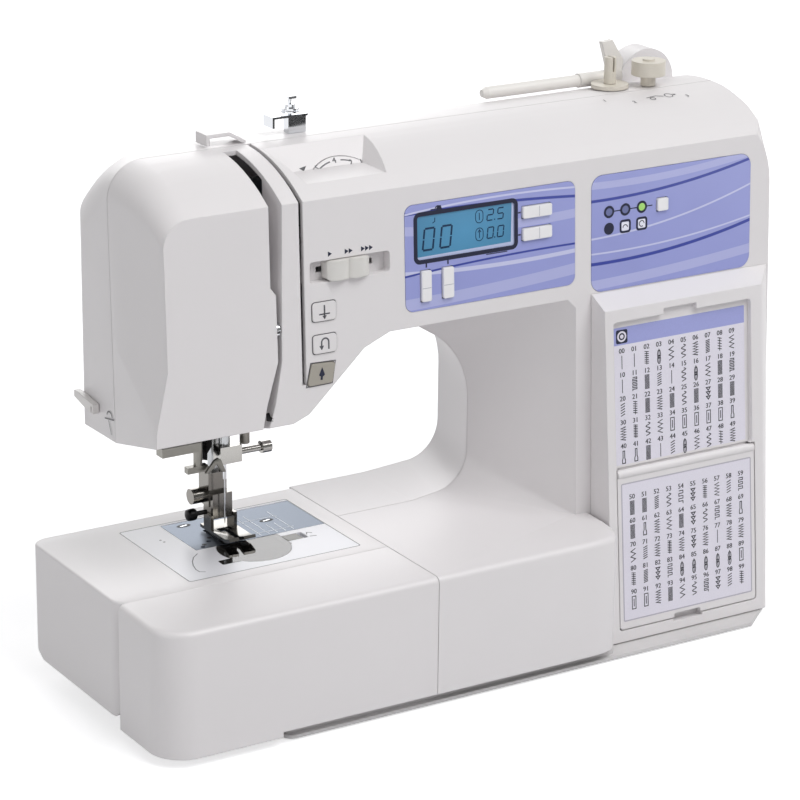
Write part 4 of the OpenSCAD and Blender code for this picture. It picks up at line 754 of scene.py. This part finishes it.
sheet = bmesh.new()
for x, y, text in ((115.5, 3.8, "1"), (130.9, -2.8, "2"), (165.9, -4, "3")):
    figures(sheet, text, x, y, 4.2)
stroke(sheet, [(140.7, 0), (148, 1.2), (152, -0.6)], 0.5)
stroke(sheet, arc(155.6, -0.4, 2.4, 0, 340, 17), 0.5, closed=True)
stroke(sheet, arc(144, -1.8, 1.5, 0, 340, 13), 0.5, closed=True)
fill(sheet, [(158.8, -1.2), (160.9, -0.2), (158.8, 0.8)])
lay(sheet, "winding_print", crown_plane(2), ink_grey, lift=0.12)


# ---- Bed plates -------------------------------------------------------------------
# A moulded plate cover carries the stamped steel needle plate and the clear
# bobbin window, which a small latch holds.

cover_abs = moulded("plate_cover_abs", "e1e1e6", 0.36)
dress(cover_abs, "needle_plate_cover")
# Rolled and brushed plate: slate grey, with streaks along the machine.
stamped_steel = metal("brushed_plate_steel", "666e7a", 0.42, streak=0.3, along=(1, 12, 12))
dress(stamped_steel, "needle_plate")
latch_abs = moulded("latch_abs", "6d6c68", 0.4)
dress(latch_abs, "cover_latch")
ease(0.2, "cover_latch")


def level_plane(z):
    """Level plane at a height: local x along the machine, y to the rear, z up."""
    return Matrix(((mm, 0, 0, 0), (0, mm, 0, 0), (0, 0, mm, z*mm), (0, 0, 0, 1)))


bed = level_plane(74)
sheet = bmesh.new()
stroke(sheet, rounded(-162.3, -28.8, -59.5, 51.9, 1.5), 0.6, closed=True)
lay(sheet, "cover_joint_line", bed, ink_grey, lift=0.03)
sheet = bmesh.new()
stroke(sheet, [(-140.3, 4.1), (-144.6, 0.4), (-147.9, -4.6), (-150.2, -9.8), (-151.6, -15.4),
               (-151.4, -19), (-148.7, -20.6)], 0.55)
stroke(sheet, [(-76.4, -0.6), (-74.8, 2.2), (-72.6, 0.2)], 0.7)
stroke(sheet, [(-76.2, -3.6), (-72.4, -4.4)], 0.8)
for x, y in ((-148.2, 31), (-147.6, 27.8)):
    fill(sheet, arc(x, y, 0.7, 0, 330, 11))
lay(sheet, "cover_print", bed, ink_grey, lift=0.05)
sheet = bmesh.new()
screw_places = ((-127.4, 43.9), (-84.7, 28.8))
for x, y in screw_places:
    fill(sheet, [(x + 4.2*math.cos(a*math.pi/12), y + 2.1*math.sin(a*math.pi/12))
                 for a in range(24)])
for x, y in ((-124, 21.3), (-130.9, 13.8)):
    fill(sheet, arc(x, y, 1.3, 0, 345, 23))
lay(sheet, "plate_recesses", bed, ink("shadowed_recess", "1d2026", 0.6), lift=0.04)
sheet = bmesh.new()
for x, y in screw_places:
    stroke(sheet, [(x - 2.2, y - 0.4), (x + 2.2, y + 0.4)], 1.1)
lay(sheet, "plate_screws", bed, zinc_plate, lift=0.07)
sheet = bmesh.new()
for x in (-98, -93, -88, -83, -78):
    stroke(sheet, [(x, 10.4), (x, 23.5 if x > -92 and x < -80 else 40)], 0.4)
for y in (14, 32.5):
    stroke(sheet, [(-99, y), (-76, y)], 0.35)
lay(sheet, "plate_graduations", bed, ink("etched_line_pale", "d3dae2", 0.3),
    lift=0.05)


def clear_moulding(name, colour, density):
    """Clear moulded plastic tinted in its depth."""
    made, tree, out = new_material(name)
    place = add_node(tree, "TexCoord")
    ripple = add_node(tree, "TexNoise", {}, Vector=place.outputs["Object"], Scale=1/(9*mm))
    bump = add_node(tree, "Bump", {}, Height=ripple.outputs["Fac"], Strength=0.1, Distance=0.05*mm)
    skin = add_node(tree, "BsdfPrincipled", {}, Base_Color=linear(colour), IOR=1.49,
                    Roughness=0.06, Transmission_Weight=density, Normal=bump.outputs[0])
    tree.links.new(skin.outputs[0], out.inputs[0])
    return made


# Smoked acrylic lets the hook show darkly; the bobbin's styrene is clear.
dress(clear_moulding("smoked_acrylic", "4e4a48", 0.95), "bobbin_cover")
dress(clear_moulding("clear_bobbin_styrene", "f2f2ee", 0.7), "bobbin")
dress(moulded("black_acetal", "202023", 0.45), "bobbin_case", "drop_feed_lever", "power_switch",
      "power_inlet")


# ---- Winder, spool pin and board --------------------------------------------------------
# The winder's parts are beige acetal, which runs without oil, and the spool pin is
# ABS. The control board inside is green glass-filled epoxy.

beige = moulded("winder_acetal", "d9d3c7", 0.36)
dress(beige, "winder_shaft", "winder_seat", "winder_stopper")
dress(moulded("spool_pin_abs", "eae7e3", 0.36), "spool_pin")
dress(moulded("epoxy_board", "1f6a45", 0.35), "control_board")


# ---- Needle bar, foot and thread guides ---------------------------------------------
# Turned and pressed steel parts, plated or blacked, that hang from the head. The
# small guides are stamped from sheet and screwed to the bars or to the casing.

# Chrome mirrors its surroundings; nickel is warmer, and darker where it is blurred.
chrome = metal("bright_chrome_plate", "dfe1e4", 0.09)
dress(chrome, "needle", "take_up_lever", "winding_guide")
dark_nickel = metal("dark_nickel_plate", "8c8984", 0.2)
dress(dark_nickel, "foot_holder", "presser_foot")
dress(metal("turned_nickel_steel", "b4b2ae", 0.16), "needle_clamp")
satin = metal("satin_nickel", "8f8d87", 0.32)
dress(satin, "needle_threader")


def pressed(name, outline, place, thick, surface, body, round_off=0.35):
    """A plate cut to an outline in mm on a plane, drawn out backwards and eased."""
    sheet = bmesh.new()
    fill(sheet, outline)
    mesh = bpy.data.meshes.new(name)
    sheet.to_mesh(mesh)
    sheet.free()
    piece = bpy.data.objects.new(name, mesh)
    scene.collection.objects.link(piece)
    bpy.ops.object.select_all(action="DESELECT")
    piece.select_set(True)
    bpy.context.view_layer.objects.active = piece
    bpy.ops.object.mode_set(mode="EDIT")
    bpy.ops.mesh.select_all(action="SELECT")
    bpy.ops.mesh.extrude_region_move(TRANSFORM_OT_translate={"value": (0, 0, -thick)})
    bpy.ops.mesh.select_all(action="SELECT")
    bpy.ops.mesh.normals_make_consistent(inside=False)
    bpy.ops.object.mode_set(mode="OBJECT")
    soften = piece.modifiers.new("eased", "BEVEL")
    soften.width = round_off
    soften.segments = 2
    bpy.ops.object.modifier_apply(modifier=soften.name)
    mesh.transform(place)
    mesh.materials.append(surface)
    for side in mesh.polygons:
        side.use_smooth = True
    mesh.set_sharp_from_angle(angle=math.radians(35))
    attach(piece, body)
    return piece


def upright_plane(y):
    """Upright plane at a depth: local x along the machine, y up, z towards the front."""
    return Matrix(((mm, 0, 0, 0), (0, 0, -mm, y*mm), (0, mm, 0, 0), (0, 0, 0, 1)))


def side_plane(x):
    """Upright plane across the machine: local x to the rear, y up, z towards the right."""
    return Matrix(((0, 0, mm, x*mm), (mm, 0, 0, 0), (0, mm, 0, 0), (0, 0, 0, 1)))


# Blacked steel: nearly black with a soft oily shine.
black_oxide = metal("black_oxide_steel", "2b2a2b", 0.3)
pressed("presser_bracket", [(-119, 112), (-108, 109), (-102, 116), (-102, 146), (-119, 146)],
        upright_plane(38.6), 3, black_oxide, "housing")
pressed("thread_shield", [(-128.4, 119), (-124, 117.5), (-119.4, 124), (-119.4, 146),
                          (-128.4, 146)],
        upright_plane(25.5), 2.2, black_oxide, "housing")
pressed("arch_guide", [(-129.4, 113.6), (-126.6, 113.6), (-122.6, 117.6), (-119.6, 112.6),
                       (-117, 112.6), (-119.8, 119.6), (-121.6, 121), (-124, 120)],
        upright_plane(14.4), 1.6, satin, "needle_drive", 0.25)
pressed("guide_post", arc(-102.7, 20, 2.7, 0, 345, 23),
        level_plane(147), 22.4, satin, "housing", 0.4)
pressed("foot_release_stem", arc(27.5, 86.6, 1.3, 0, 345, 23), side_plane(-122), 7.4, black_oxide,
        "presser", 0.2)
pressed("foot_release_button", arc(27.5, 86.6, 3.3, 0, 345, 23), side_plane(-128.6), 5.6,
        black_oxide, "presser", 1.3)
pressed("lower_thread_hook", [(-124.8, 160), (-121.4, 159), (-120.6, 161.6), (-122.4, 161.4),
                              (-123.4, 164.2), (-124.8, 163.8)],
        face, 1.4, black_oxide, "housing", 0.2)


# ---- Thread cutter -------------------------------------------------------------------
# A small ABS hook on the head's left side that holds a blade. The casing beside it
# is printed with a thread drawn over a bar.

cutter_abs = moulded("cutter_abs", "e6e3e1", 0.35)
dress(cutter_abs, "thread_cutter")
sheet = bmesh.new()
stroke(sheet, arc(-20.5, 152.6, 3, 10, 170, 8), 0.7)
stroke(sheet, [(-26, 150.6), (-15.4, 152.4)], 0.7)
stroke(sheet, [(-21.6, 150.6), (-18.6, 143.4)], 0.5)
left_side = Matrix(((0, 0, -mm, -182.1*mm), (-mm, 0, 0, 0), (0, mm, 0, 0), (0, 0, 0, 1)))
lay(sheet, "cutter_mark", left_side, ink_grey)
